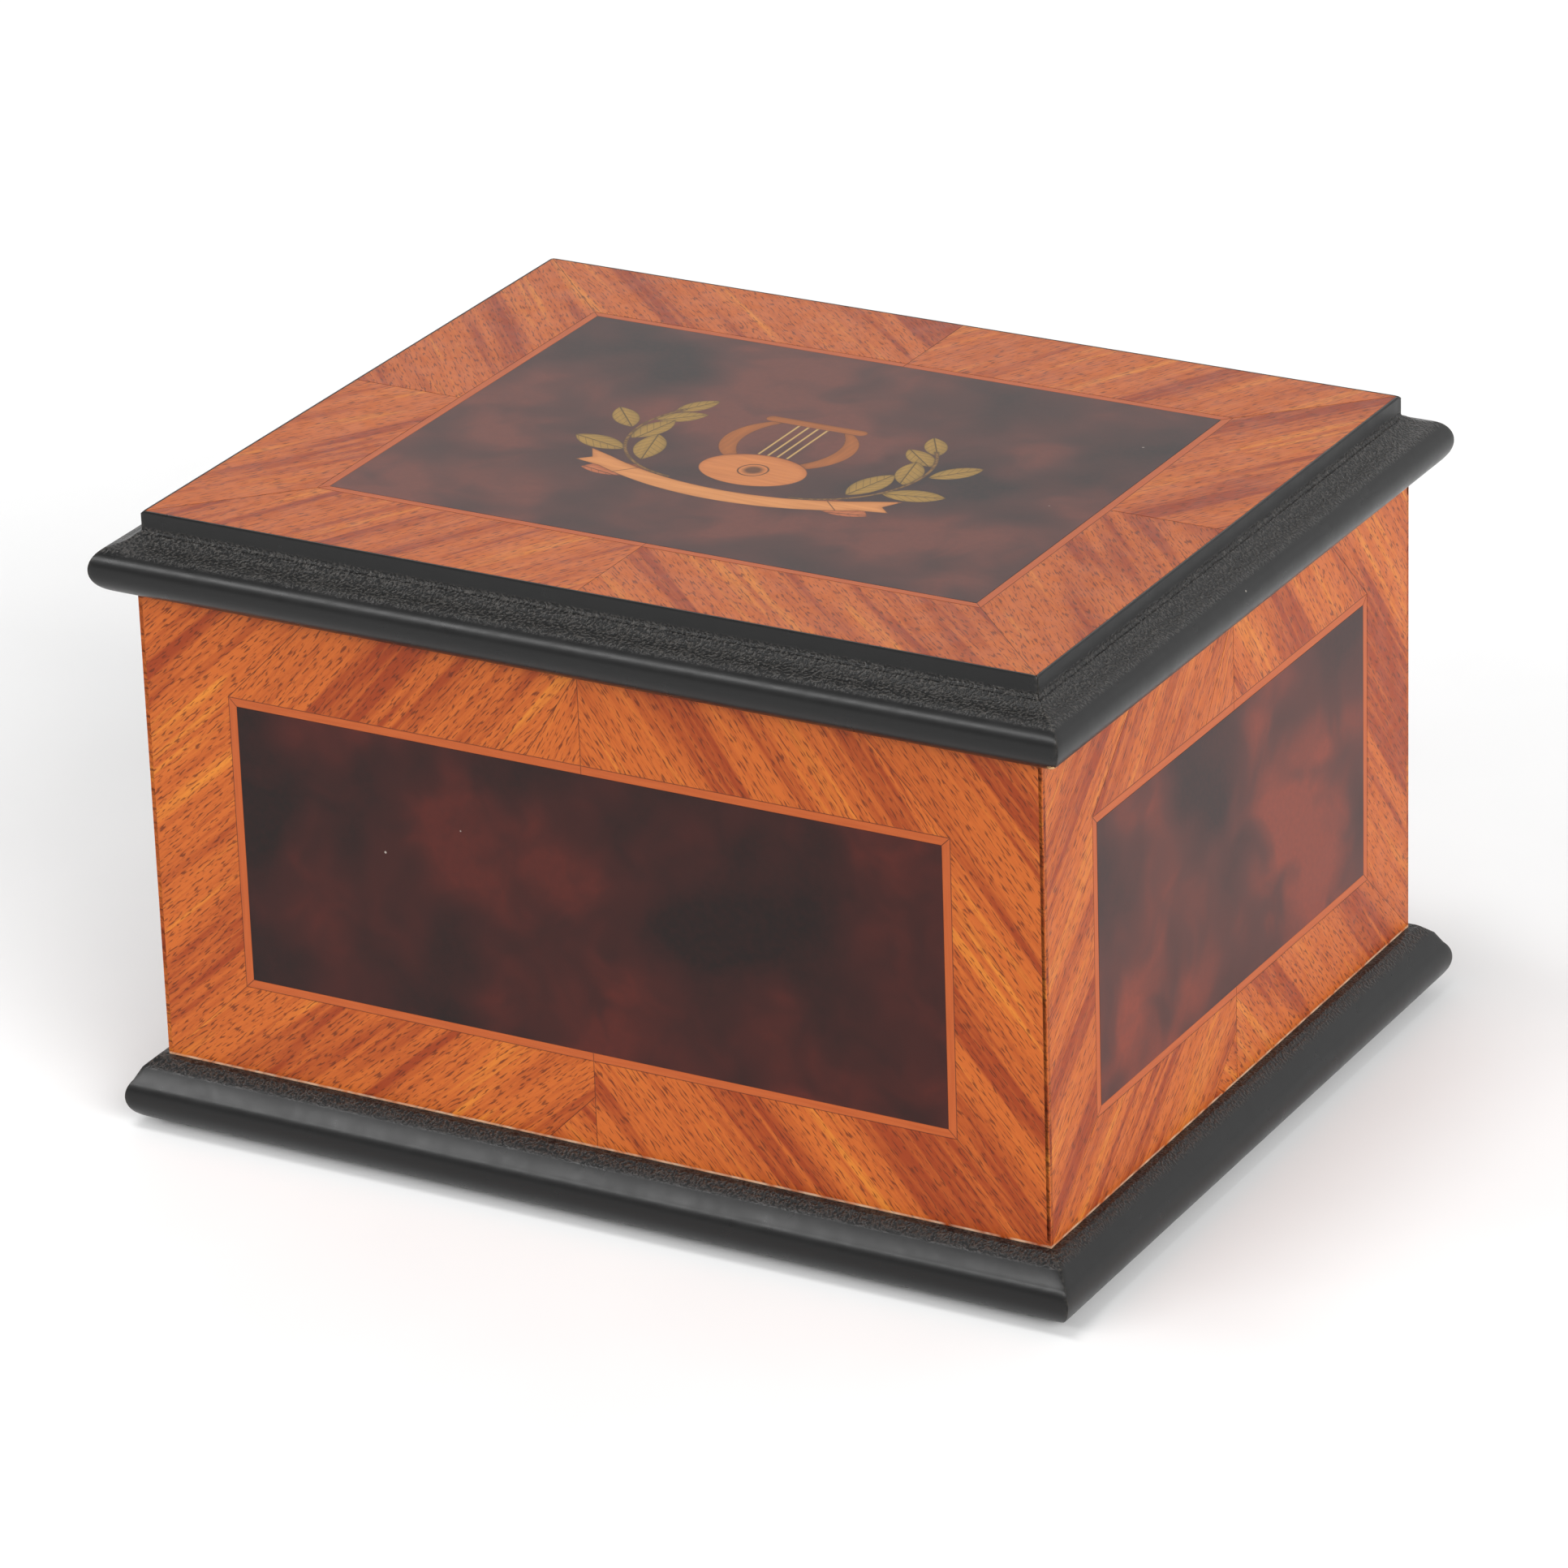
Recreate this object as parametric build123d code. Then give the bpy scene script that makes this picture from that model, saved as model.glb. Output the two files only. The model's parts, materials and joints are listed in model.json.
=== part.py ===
from build123d import *
import os
from math import asin, atan2, cos, degrees, pi, radians, sin

# Music box: a veneered wooden case with black mouldings, a hinged lid, a comb and cylinder
# movement under a glass window on the left, and a lined compartment on the right.
# Millimetres. +X to the right, +Y to the back, +Z up, origin on the floor under the centre.

# Case
box_width = 131.0  # over the outer faces of the side walls
box_depth = 105.5  # over the outer faces of the front and back walls
wall_height = 66.2  # from the top of the base moulding to the rim
wall_board = 5.9  # wooden board under the veneer
veneer = 0.6
foot_height = 0.8
foot_radius = 3.5
foot_inset = 0.2  # from the inner face of the walls

# Base moulding, with a flat ledge, a sloping shoulder and a round nose
base_height = 9.0
base_reach = 4.5  # how far the nose stands out of the wall
base_nose_radius = 3.6
base_ledge = 1.2
base_shoulder_angle = 42.0  # where the nose starts, from level
base_bulge_out = 0.25  # the shoulder's middle off a straight line
base_bulge_up = 0.2

# Lid, with a nose, a sloping shoulder, a cove and an upright fillet
lid_gap = 0.2  # between the rim and the lid
lid_height = 10.6
lid_reach = 4.5
lid_nose_radius = 3.35
lid_nose_end_angle = 62.0
lid_fillet_inset = 0.8  # upright fillet, inside the wall plane
lid_fillet_height = 2.4
lid_cove = 0.5
lid_lip = 0.4  # black line round the veneer of the lid
lid_recess = 5.0  # depth of the hollow under the lid

# Veneer picture frames
wall_margin_side = 14.2  # crossband and stringing beside a dark panel
wall_margin_low = 13.6
wall_margin_top = 13.8
lid_margin = 18.4
stringing_width = 1.2

# Bottom, divider and compartments
bottom_rise = 12.7  # underside of the bottom panel above the feet
bottom_thickness = 3.0
bottom_tongue = 2.0  # how far the bottom panel goes into the walls
divider_thickness = 4.0
movement_room = 55.0  # from the left wall to the divider
window_thickness = 2.0
window_drop = 8.0  # top of the window below the rim
window_clearance = 0.3
ledge_width = 4.0
ledge_height = 4.0
lining_thickness = 1.2
lining_drop = 5.0
pad_thickness = 2.5
pad_clearance = 0.3

# Hinges, with lips that meet when the lid is fully open
hinge_spacing = 80.0
hinge_length = 16.0
hinge_leaf = 0.8
hinge_leaf_depth = 5.0
hinge_leaf_gap = 0.1
hinge_offset = 2.0  # pin centre behind the back wall
knuckle_radius = 1.6
hinge_pin_radius = 0.8
running_clearance = 0.05
knuckle_gap = 0.15
stop_web_inner = 1.12  # clear of the pin's middle
stop_lip_inner = 1.8
stop_lip_outer = 3.5
stop_lip_angle = 18.0
lid_opening = 95.0
stop_clearance_angle = 0.5
hinge_notch_clearance = 0.3

# Screws: shank radius, head radius
hinge_screw_radius = 0.7
hinge_screw_head = 1.5
hinge_screw_sink = 0.6
hinge_screw_length = 5.0
hinge_screw_spacing = 9.0
round_screw_radius = 0.9
round_screw_head = 1.8
round_screw_head_height = 1.1
round_screw_length = 5.0
short_screw_length = 4.0
screw_point_cover = 0.4  # left under a screw that ends in the bedplate
slot_width = 0.4
slot_depth = 0.4

# Movement: the frame is local, with its origin on top of the bedplate
bed_length = 50.0
bed_width = 45.0
bed_thickness = 2.0
bed_corner = 3.0
bed_screw_inset = 5.0
axle_height = 12.5
axle_radius = 1.0
cylinder_offset = 2.5  # cylinder axis to the right of the bedplate's centre
drum_radius = 6.5
drum_start = 0.4
post_thickness = 2.0
post_width = 6.0
post_gap = 0.6
near_post_gap = 0.8
axle_end = 0.6  # axle behind the far post
pin_length = 0.8
pin_radius = 0.22
pins_per_tooth = 4
pin_root = 0.4  # inside the drum
pin_step = 3.1  # degrees

# Comb
tooth_count = 18
tooth_pitch = 1.05
tooth_gap = 0.22
tooth_thickness = 0.5
tooth_length = 6.5
comb_clearance = 0.15  # tooth tips stand this far off the pins' path
comb_base_width = 5.4
comb_base_thickness = 1.8
comb_screw_inset = 4.0
lead_height = 1.6  # under the first tooth
lead_step = 0.18  # less under each next tooth
lead_inset = 0.6
lead_length = 2.2

# Gears: module is pitch diameter over teeth
crown_teeth = 36
cylinder_pinion_teeth = 12
crown_module = 0.5
crown_tooth_width = 0.5
crown_face = 1.6
crown_inner_extra = 0.2
crown_outer_inset = 0.1
crown_sink = 0.2
wheel_teeth = 48
governor_pinion_teeth = 12
wheel_module = 0.45
wheel_thickness = 1.2
worm_wheel_teeth = 20
worm_module = 0.55
worm_pitch_radius = 1.5
tooth_addendum = 0.8  # in modules
tooth_dedendum = 1.15  # in modules
tooth_share = 0.36  # tooth thickness over pitch, at the pitch line
tip_share = 0.5  # tooth tip over tooth thickness

# Spring barrel, arbor and click
barrel_offset = -13.5  # barrel axis along the bedplate
barrel_radius = 10.5
barrel_wall = 0.8
barrel_floor = 1.8  # underside above the bedplate
arbor_radius = 1.9
arbor_end = 0.4  # above the barrel
bush_wall = 1.6
spring_thickness = 0.35
spring_turns = 6
spring_clearance = 0.3
ratchet_radius = 4.2
ratchet_depth = 0.6
ratchet_teeth = 12
ratchet_low = 0.2
ratchet_thickness = 1.1
click_clearance = 0.15
click_blade = 0.8
click_pad = 3.6
click_pad_gap = 1.2  # to the barrel
click_tip_past = 1.0  # past the barrel's axis

# Winding key
key_drop = 0.8  # hub below the bottom panel
key_hub_radius = 3.2
key_hub_height = 4.6
key_wing_span = 21.0
key_wing_thickness = 1.8
key_floor_clearance = 1.6
key_hole_radius = 1.7

# Governor
worm_wheel_along = 13.6
governor_cheek = 1.0
near_cheek_reach = 3.4  # from the worm wheel's plane
bracket_rise = 6.2  # above the cylinder's axle
bracket_worm_side = 2.6
bracket_wheel_side = 3.0
far_cheek_rise = 3.0  # above the cylinder's axle
bracket_arm = 1.2
bracket_arm_reach = 2.2
worm_seat_radius = 1.5
worm_seat_height = 2.2
governor_screw_shift = 0.5
near_screw_reach = 4.6  # from the worm wheel's plane
far_screw_inset = 2.0
governor_base = 1.2
governor_pivot = 0.6
governor_arbor = 0.9
worm_journal = 0.8
arbor_end_gap = 0.3
worm_foot_gap = 0.4
worm_core = 0.95
worm_length = 7.0
worm_root_sink = 0.1
worm_root_share = 0.6
fan_radius = 5.0
fan_hub_radius = 1.5
fan_hub_end = 0.4  # hub below the vanes
fan_height = 4.5
fan_thickness = 0.3
fan_gap = 0.8  # between the governor bracket and the fan

# Stop plunger
plunger_radius = 0.8
plunger_offset = 2.5  # from the fan's axis, towards the side wall
plunger_gap = 0.3  # at the fan and at the lid, with the lid shut
plunger_foot_radius = 1.6
plunger_foot_height = 1.0
plunger_cap_radius = 2.0
plunger_cap_height = 1.6
plunger_collar_radius = 1.9
plunger_collar_height = 1.0
plunger_room = 1.0  # round the plunger in what it passes
guide_height = 9.5  # top of the guide's arm above the fan
guide_plate = 1.2
guide_arm = 1.6
guide_arm_half = 2.4
guide_plate_half = 5.0
guide_plate_rise = 8.0
guide_screw_rise = 4.2
guide_screw_half_spacing = 3.2
coil_radius = 1.5
coil_wire = 0.22
coil_turns = 7
coil_length = 8.0

# Marquetry on the lid: a lyre between two leafy sprays, over a blank ribbon
lyre_bowl_width = 15.0
lyre_bowl_height = 10.5
lyre_height = 24.0
lyre_arm_start = 0.7  # share of the bowl's height
lyre_arm_reach = 9.3
lyre_arm_width = 2.6
lyre_foot_inner = 2.0
lyre_foot_outer = 4.6
lyre_tip_inner = 4.4
lyre_tip_outer = 6.0
lyre_tip_drop = 2.4
lyre_yoke_drop = 1.5
lyre_yoke_height = 1.8
lyre_string_width = 0.4
lyre_string_pitch = 1.4
lyre_string_count = 4
leaf_length = 9.6
leaf_width = 4.4
leaf_belly = 0.45  # widest point, as a share of the length
leaf_lean = 38.0  # degrees from the stem
leaf_taper = 0.05  # each leaf is smaller than the one before
leaves_per_spray = 7
spray_width = 43.0
spray_height = 31.0
spray_lift = 1.0
spray_start = -66.0
spray_end = 30.0
stem_width = 0.5
ribbon_width = 3.4
ribbon_drop = 4.2  # middle of the ribbon below the lyre
ribbon_half_span = 19.0
ribbon_rise = 4.4
ribbon_tail = 4.0
ribbon_notch = 1.6
ribbon_tail_lift = 1.6
ribbon_notch_lift = 0.6
ribbon_tail_low_lift = 0.8

# Heights and planes that follow from the sizes above
wall_thickness = wall_board + veneer
base_top = foot_height + base_height
rim = base_top + wall_height
lid_low = rim + lid_gap
lid_top = lid_low + lid_height
inner_x = box_width / 2 - wall_thickness
inner_y = box_depth / 2 - wall_thickness
bottom_low = foot_height + bottom_rise
floor_top = bottom_low + bottom_thickness
divider_left = -inner_x + movement_room
divider_right = divider_left + divider_thickness
movement_x = -inner_x + movement_room / 2
window_top = rim - window_drop
window_low = window_top - window_thickness
ledge_low = window_low - ledge_height
hinge_y = box_depth / 2 + hinge_offset
hinge_z = rim + lid_gap / 2
sides = {
    "front": (0, box_width / 2, box_depth / 2),
    "right": (90, box_depth / 2, box_width / 2),
    "back": (180, box_width / 2, box_depth / 2),
    "left": (270, box_depth / 2, box_width / 2),
}

# Movement places that follow
movement = Pos(movement_x, 0, floor_top + bed_thickness)
bush_radius = arbor_radius + bush_wall
pinion_radius = crown_module * cylinder_pinion_teeth / 2
crown_radius = crown_module * crown_teeth / 2
crown_plane = axle_height - pinion_radius
crown_root = crown_plane - tooth_dedendum * crown_module
drum_length = tooth_count * tooth_pitch
drum_end = drum_start + drum_length
wheel_low = drum_end + post_gap
wheel_high = wheel_low + wheel_thickness
far_post_low = wheel_high + post_gap
far_post_high = far_post_low + post_thickness
near_post_high = drum_start - near_post_gap
near_post_low = near_post_high - post_thickness
wheel_radius = wheel_module * wheel_teeth / 2
governor_x = cylinder_offset - wheel_radius - wheel_module * governor_pinion_teeth / 2
worm_wheel_radius = worm_module * worm_wheel_teeth / 2
worm_x = governor_x - worm_wheel_radius - worm_pitch_radius
near_cheek_low = worm_wheel_along - near_cheek_reach
far_cheek_low = far_post_low
bracket_top = axle_height + bracket_rise
fan_low = bracket_top + fan_gap
fan_top = fan_low + fan_height
pins_top = drum_radius + pin_length
comb_tip = cylinder_offset + pins_top + comb_clearance
comb_back = comb_tip + tooth_length + comb_base_width


def block(x0, x1, y0, y1, z0, z1):
    """A box between six planes."""
    return Pos((x0 + x1) / 2, (y0 + y1) / 2, (z0 + z1) / 2) * Box(
        x1 - x0, y1 - y0, z1 - z0
    )


def rod(x, y, z0, z1, radius):
    """An upright round rod."""
    return Pos(x, y, (z0 + z1) / 2) * Cylinder(radius, z1 - z0)


def rod_along_y(x, z, y0, y1, radius):
    """A round rod that lies along Y."""
    return Pos(x, (y0 + y1) / 2, z) * Rot(90, 0, 0) * Cylinder(radius, y1 - y0)


def rod_along_x(y, z, x0, x1, radius):
    """A round rod that lies along X."""
    return Pos((x0 + x1) / 2, y, z) * Rot(0, 90, 0) * Cylinder(radius, x1 - x0)


def group(solids):
    """One node of several separate solids."""
    return Compound(children=list(solids))


def flat_polygon(points):
    """A face in XY through the given points."""
    return make_face(Polyline(*points, close=True))


# Mitred sides of the case and the lid


def mitre_wedge(half_run, stand_off, inner, outer, z0, z1):
    """The space of a front side between its two mitre planes."""
    near, far = stand_off - inner, stand_off + outer
    points = [
        (-(half_run - inner), -near),
        (half_run - inner, -near),
        (half_run + outer, -far),
        (-(half_run + outer), -far),
    ]
    return Pos(0, 0, z0) * extrude(flat_polygon(points), z1 - z0)


def mitred_bar(outline, half_run, stand_off, inner, outer, z0, z1):
    """A straight bar of the outline, given as (outward, height), cut to its mitres."""
    plane = Plane(origin=(0, -stand_off, 0), x_dir=(0, -1, 0), z_dir=(-1, 0, 0))
    length = half_run + outer
    bar = extrude(plane * outline, amount=length, both=True)
    return bar & mitre_wedge(half_run, stand_off, inner, outer, z0, z1)


def base_outline():
    """Section of the base moulding."""
    centre_o = base_reach - base_nose_radius
    centre_z = foot_height + base_nose_radius
    turn = radians(base_shoulder_angle)
    start = (
        centre_o + base_nose_radius * cos(turn),
        centre_z + base_nose_radius * sin(turn),
    )
    ledge = (base_ledge, base_top)
    middle = (
        (start[0] + ledge[0]) / 2 + base_bulge_out,
        (start[1] + ledge[1]) / 2 + base_bulge_up,
    )
    foot = (centre_o, foot_height)
    lines = [
        Line((-wall_thickness, base_top), ledge),
        ThreePointArc(ledge, middle, start),
        ThreePointArc(start, (base_reach, centre_z), foot),
        Line(foot, (-wall_thickness, foot_height)),
        Line((-wall_thickness, foot_height), (-wall_thickness, base_top)),
    ]
    return make_face(lines)


def lid_outline():
    """Section of the lid moulding, with the step for the veneer on its inner side."""
    centre_o = lid_reach - lid_nose_radius
    centre_z = lid_low + lid_nose_radius
    turn = radians(lid_nose_end_angle)
    shoulder = (
        centre_o + lid_nose_radius * cos(turn),
        centre_z + lid_nose_radius * sin(turn),
    )
    fillet_low = lid_top - lid_fillet_height
    cove_end = (-lid_fillet_inset + lid_cove, fillet_low - lid_cove)
    dip = cos(radians(45)) * lid_cove
    cove_middle = (-lid_fillet_inset + lid_cove - dip, fillet_low - dip)
    fillet = -lid_fillet_inset
    under_veneer = lid_top - veneer
    lines = [
        Line((-wall_thickness, lid_low), (centre_o, lid_low)),
        ThreePointArc((centre_o, lid_low), (lid_reach, centre_z), shoulder),
        Line(shoulder, cove_end),
        ThreePointArc(cove_end, cove_middle, (fillet, fillet_low)),
        Polyline(
            (fillet, fillet_low),
            (fillet, lid_top),
            (fillet - lid_lip, lid_top),
            (fillet - lid_lip, under_veneer),
            (-wall_thickness, under_veneer),
            (-wall_thickness, lid_low),
        ),
    ]
    return make_face(lines)


def base_moulding(side):
    turn, half_run, stand_off = sides[side]
    bar = mitred_bar(
        base_outline(), half_run, stand_off, wall_thickness, base_reach, 0, base_top
    )
    return Rot(0, 0, turn) * bar


def lid_moulding(side):
    turn, half_run, stand_off = sides[side]
    bar = mitred_bar(
        lid_outline(), half_run, stand_off, wall_thickness, lid_reach, lid_low, lid_top
    )
    bar = Rot(0, 0, turn) * bar
    if side == "back":
        for x in hinge_places():
            bar -= hinge_notch(x) + lid_leaf_plate(x)
            bar -= lid_screw_shanks(x)
    return bar


def wall(side):
    """One board of the case, with a groove for the bottom panel."""
    turn, half_run, stand_off = sides[side]
    height = rim - base_top
    outline = Pos(-veneer - wall_board / 2, base_top + height / 2) * Rectangle(
        wall_board, height
    )
    board = mitred_bar(
        outline, half_run, stand_off, wall_thickness, 0, base_top, rim
    )
    board = Rot(0, 0, turn) * board - bottom_sheet()
    if side == "back":
        for x in hinge_places():
            board -= wall_leaf_plate(x)
            board -= wall_screw_shanks(x)
    if side == "left":
        for screw in guide_screws():
            board -= screw
    return board


# Veneers


def frame_strips(outer, inner):
    """Six strips that meet at the corners and at the middle of the long rails."""
    x0, z0, x1, z1 = outer
    a0, b0, a1, b1 = inner
    seam = (x0 + x1) / 2
    return [
        [(x0, z0), (a0, b0), (a0, b1), (x0, z1)],
        [(x1, z0), (x1, z1), (a1, b1), (a1, b0)],
        [(x0, z0), (seam, z0), (seam, b0), (a0, b0)],
        [(seam, z0), (x1, z0), (a1, b0), (seam, b0)],
        [(x0, z1), (a0, b1), (seam, b1), (seam, z1)],
        [(seam, z1), (seam, b1), (a1, b1), (x1, z1)],
    ]


def shrunk(rectangle, by):
    x0, z0, x1, z1 = rectangle
    return (x0 + by, z0 + by, x1 - by, z1 - by)


def wall_rectangle(side):
    half_run = sides[side][1]
    return (-half_run, base_top, half_run, rim)


def panel_rectangle(side):
    half_run = sides[side][1]
    reach = half_run - wall_margin_side
    return (-reach, base_top + wall_margin_low, reach, rim - wall_margin_top)


def on_wall(side, points):
    """A veneer sheet on one wall, of the outline given as (along, height)."""
    turn, half_run, stand_off = sides[side]
    plane = Plane(origin=(0, -stand_off, 0), x_dir=(1, 0, 0), z_dir=(0, -1, 0))
    sheet = extrude(plane * flat_polygon(points), -veneer)
    sheet &= mitre_wedge(half_run, stand_off, veneer, 0, base_top, rim)
    return Rot(0, 0, turn) * sheet


def rectangle_points(rectangle):
    x0, z0, x1, z1 = rectangle
    return [(x0, z0), (x1, z0), (x1, z1), (x0, z1)]


def crossband(side):
    inner = shrunk(panel_rectangle(side), -stringing_width)
    strips = [on_wall(side, p) for p in frame_strips(wall_rectangle(side), inner)]
    if side == "back":
        for x in hinge_places():
            strips = [strip - wall_leaf_plate(x) for strip in strips]
    return group(strips)


def wall_stringing():
    strips = []
    for side in sides:
        inner = panel_rectangle(side)
        outer = shrunk(inner, -stringing_width)
        strips += [on_wall(side, p) for p in frame_strips(outer, inner)]
    return group(strips)


def burl_panel(side):
    return on_wall(side, rectangle_points(panel_rectangle(side)))


def lid_rectangle(inset):
    x, y = box_width / 2 - inset, box_depth / 2 - inset
    return (-x, -y, x, y)


def on_lid(face):
    """A veneer sheet on top of the lid."""
    return Pos(0, 0, lid_top - veneer) * extrude(face, veneer)


def lid_crossband():
    """Eight strips: the two rails and the two stiles each meet at their middle."""
    outer = lid_rectangle(lid_fillet_inset + lid_lip)
    inner = lid_rectangle(lid_margin - stringing_width)
    strips = []
    for points in frame_strips(outer, inner):
        strip = on_lid(flat_polygon(points))
        if all(abs(x) > stringing_width for x, y in points):
            reach = box_width
            strips.append(strip & block(-reach, reach, -reach, 0, 0, lid_top))
            strips.append(strip & block(-reach, reach, 0, reach, 0, lid_top))
        else:
            strips.append(strip)
    return group(strips)


def lid_stringing():
    outer = lid_rectangle(lid_margin - stringing_width)
    inner = lid_rectangle(lid_margin)
    return group(on_lid(flat_polygon(p)) for p in frame_strips(outer, inner))


def lid_burl_panel():
    sheet = flat_polygon(rectangle_points(lid_rectangle(lid_margin)))
    for face in inlay_faces():
        sheet -= face
    return on_lid(sheet)


# Marquetry on the lid


def leaf(x, y, heading, length, width):
    """A pointed leaf that starts at (x, y)."""
    belly = length * leaf_belly
    face = make_face(
        [
            ThreePointArc((0, 0), (belly, width / 2), (length, 0)),
            ThreePointArc((length, 0), (belly, -width / 2), (0, 0)),
        ]
    )
    return Pos(x, y) * Rot(0, 0, heading) * face


def spray_point(turn, hand, off=0.0):
    """A point on the oval that a spray follows, off it by the given amount."""
    x = (spray_width / 2 + off) * cos(turn)
    y = (spray_height / 2 + off) * sin(turn)
    return hand * x, y + spray_lift


def spray_stem(hand):
    """A thin curved stem."""
    half = stem_width / 2
    turns = [radians(t) for t in (spray_start, (spray_start + spray_end) / 2, spray_end)]
    outer = [spray_point(t, hand, half) for t in turns]
    inner = [spray_point(t, hand, -half) for t in reversed(turns)]
    return make_face(
        [
            ThreePointArc(*outer),
            Line(outer[2], inner[0]),
            ThreePointArc(*inner),
            Line(inner[2], outer[0]),
        ]
    )


def spray_leaves(hand):
    """Leaves on alternate sides of a stem, left for hand -1 and right for hand 1."""
    faces = []
    span = spray_end - spray_start
    for i in range(leaves_per_spray):
        turn = radians(spray_start + span * (i + 0.6) / leaves_per_spray)
        outward = 1 if i % 2 == 0 else -1
        last = i == leaves_per_spray - 1
        x, y = spray_point(turn, 1, 0 if last else outward * stem_width)
        along_x = -spray_width * sin(turn)
        along_y = spray_height * cos(turn)
        heading = degrees(atan2(along_y, along_x)) - (0 if last else outward * leaf_lean)
        size = 1 - leaf_taper * i
        face = leaf(x, y, heading, leaf_length * size, leaf_width * size)
        faces.append(face if hand > 0 else mirror(face, Plane.YZ))
    return faces


def lyre_bowl():
    bowl_y = -lyre_height / 2 + lyre_bowl_height / 2
    return Pos(0, bowl_y) * Ellipse(lyre_bowl_width / 2, lyre_bowl_height / 2)


def lyre_arm(hand):
    """A horn that sweeps out from the bowl and in again to the yoke."""
    low = -lyre_height / 2 + lyre_bowl_height * lyre_arm_start
    high = lyre_height / 2 - lyre_tip_drop
    middle = (low + high) / 2
    outer = [(lyre_foot_outer, low), (lyre_arm_reach, middle), (lyre_tip_outer, high)]
    inner_reach = lyre_arm_reach - lyre_arm_width
    inner = [(lyre_tip_inner, high), (inner_reach, middle), (lyre_foot_inner, low)]
    face = make_face(
        [
            ThreePointArc(*outer),
            Line(outer[2], inner[0]),
            ThreePointArc(*inner),
            Line(inner[2], outer[0]),
        ]
    )
    return face if hand > 0 else mirror(face, Plane.YZ)


def lyre_yoke():
    y = lyre_height / 2 - lyre_yoke_drop
    return Pos(0, y) * SlotOverall(lyre_bowl_width, lyre_yoke_height)


def lyre_strings():
    low = -lyre_height / 2 + lyre_bowl_height
    high = lyre_height / 2 - lyre_tip_drop
    strings = []
    for i in range(lyre_string_count):
        x = (i - (lyre_string_count - 1) / 2) * lyre_string_pitch
        string = Rectangle(lyre_string_width, high - low)
        strings.append(Pos(x, (low + high) / 2) * string)
    return strings


def ribbon():
    """A shallow swag with swallow tails."""
    middle = -lyre_height / 2 - ribbon_drop
    end_x, end_y = ribbon_half_span, middle + ribbon_rise
    tail_x, notch_x = end_x + ribbon_tail, end_x + ribbon_tail - ribbon_notch
    half = ribbon_width / 2
    tail_high = end_y + half + ribbon_tail_lift
    tail_low = end_y - half + ribbon_tail_low_lift
    notch_y = end_y + ribbon_notch_lift
    return make_face(
        [
            ThreePointArc((-end_x, end_y + half), (0, middle + half), (end_x, end_y + half)),
            Polyline(
                (end_x, end_y + half),
                (tail_x, tail_high),
                (notch_x, notch_y),
                (tail_x, tail_low),
                (end_x, end_y - half),
            ),
            ThreePointArc((end_x, end_y - half), (0, middle - half), (-end_x, end_y - half)),
            Polyline(
                (-end_x, end_y - half),
                (-tail_x, tail_low),
                (-notch_x, notch_y),
                (-tail_x, tail_high),
                (-end_x, end_y + half),
            ),
        ]
    )


def inlay_faces():
    """The marquetry pieces, each cut back by the ones before it."""
    pieces = [lyre_bowl(), lyre_arm(1), lyre_arm(-1), lyre_yoke(), ribbon()]
    pieces += lyre_strings()
    for hand in (1, -1):
        pieces += [spray_stem(hand)] + spray_leaves(hand)
    done = []
    for piece in pieces:
        for other in done:
            if piece.bounding_box().overlaps(other.bounding_box()):
                piece -= other
        done += list(piece.faces())
    return done


def lid_inlay():
    return group(on_lid(face) for face in inlay_faces())


# Inside of the case


def bottom_sheet():
    x, y = inner_x + bottom_tongue, inner_y + bottom_tongue
    return block(-x, x, -y, y, bottom_low, floor_top)


def bottom_panel():
    """Bottom board with the holes for the movement's bush and screws."""
    sheet = bottom_sheet()
    bush = rod(*barrel_axis(), -bed_thickness - bottom_thickness, 0, bush_radius)
    sheet -= movement * bush
    for screw in bedplate_screw_solids():
        sheet -= screw
    return sheet


def divider():
    return block(
        divider_left, divider_right, -inner_y, inner_y, floor_top, window_top
    )


def window_ledges():
    """Four strips that carry the window, with room for the plunger."""
    x0, x1, y = -inner_x, divider_left, inner_y
    strips = [
        block(x0, x0 + ledge_width, -y, y, ledge_low, window_low),
        block(x1 - ledge_width, x1, -y, y, ledge_low, window_low),
    ]
    a0, a1 = x0 + ledge_width, x1 - ledge_width
    strips.append(block(a0, a1, -y, -y + ledge_width, ledge_low, window_low))
    strips.append(block(a0, a1, y - ledge_width, y, ledge_low, window_low))
    px, py = plunger_place()
    way = rod(px, py, ledge_low, window_low, plunger_radius + plunger_room)
    return group(strip - way - group(window_screws()) for strip in strips)


def movement_window():
    gap = window_clearance
    x0, x1, y = -inner_x + gap, divider_left - gap, inner_y - gap
    sheet = block(x0, x1, -y, y, window_low, window_top)
    sheet -= group(window_screws())
    x, y = plunger_place()
    hole = plunger_radius + running_clearance
    return sheet - rod(x, y, window_low, window_top, hole)


def round_screw(length):
    """A slotted round head screw that points down, with its seat at the origin."""
    head = Cylinder(round_screw_head, round_screw_head_height)
    head = Pos(0, 0, round_screw_head_height / 2) * head
    top = head.edges().group_by(Axis.Z)[-1]
    head = fillet(top, round_screw_head_height * 0.6)
    cut = block(
        -round_screw_head,
        round_screw_head,
        -slot_width / 2,
        slot_width / 2,
        round_screw_head_height - slot_depth,
        round_screw_head_height,
    )
    return head - cut + rod(0, 0, -length, 0, round_screw_radius)


def window_screws():
    x0, x1 = -inner_x + ledge_width / 2, divider_left - ledge_width / 2
    inset = inner_y - ledge_width * 2
    places = [(x, y) for x in (x0, x1) for y in (-inset, inset)]
    return [Pos(x, y, window_top) * round_screw(round_screw_length) for x, y in places]


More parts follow.
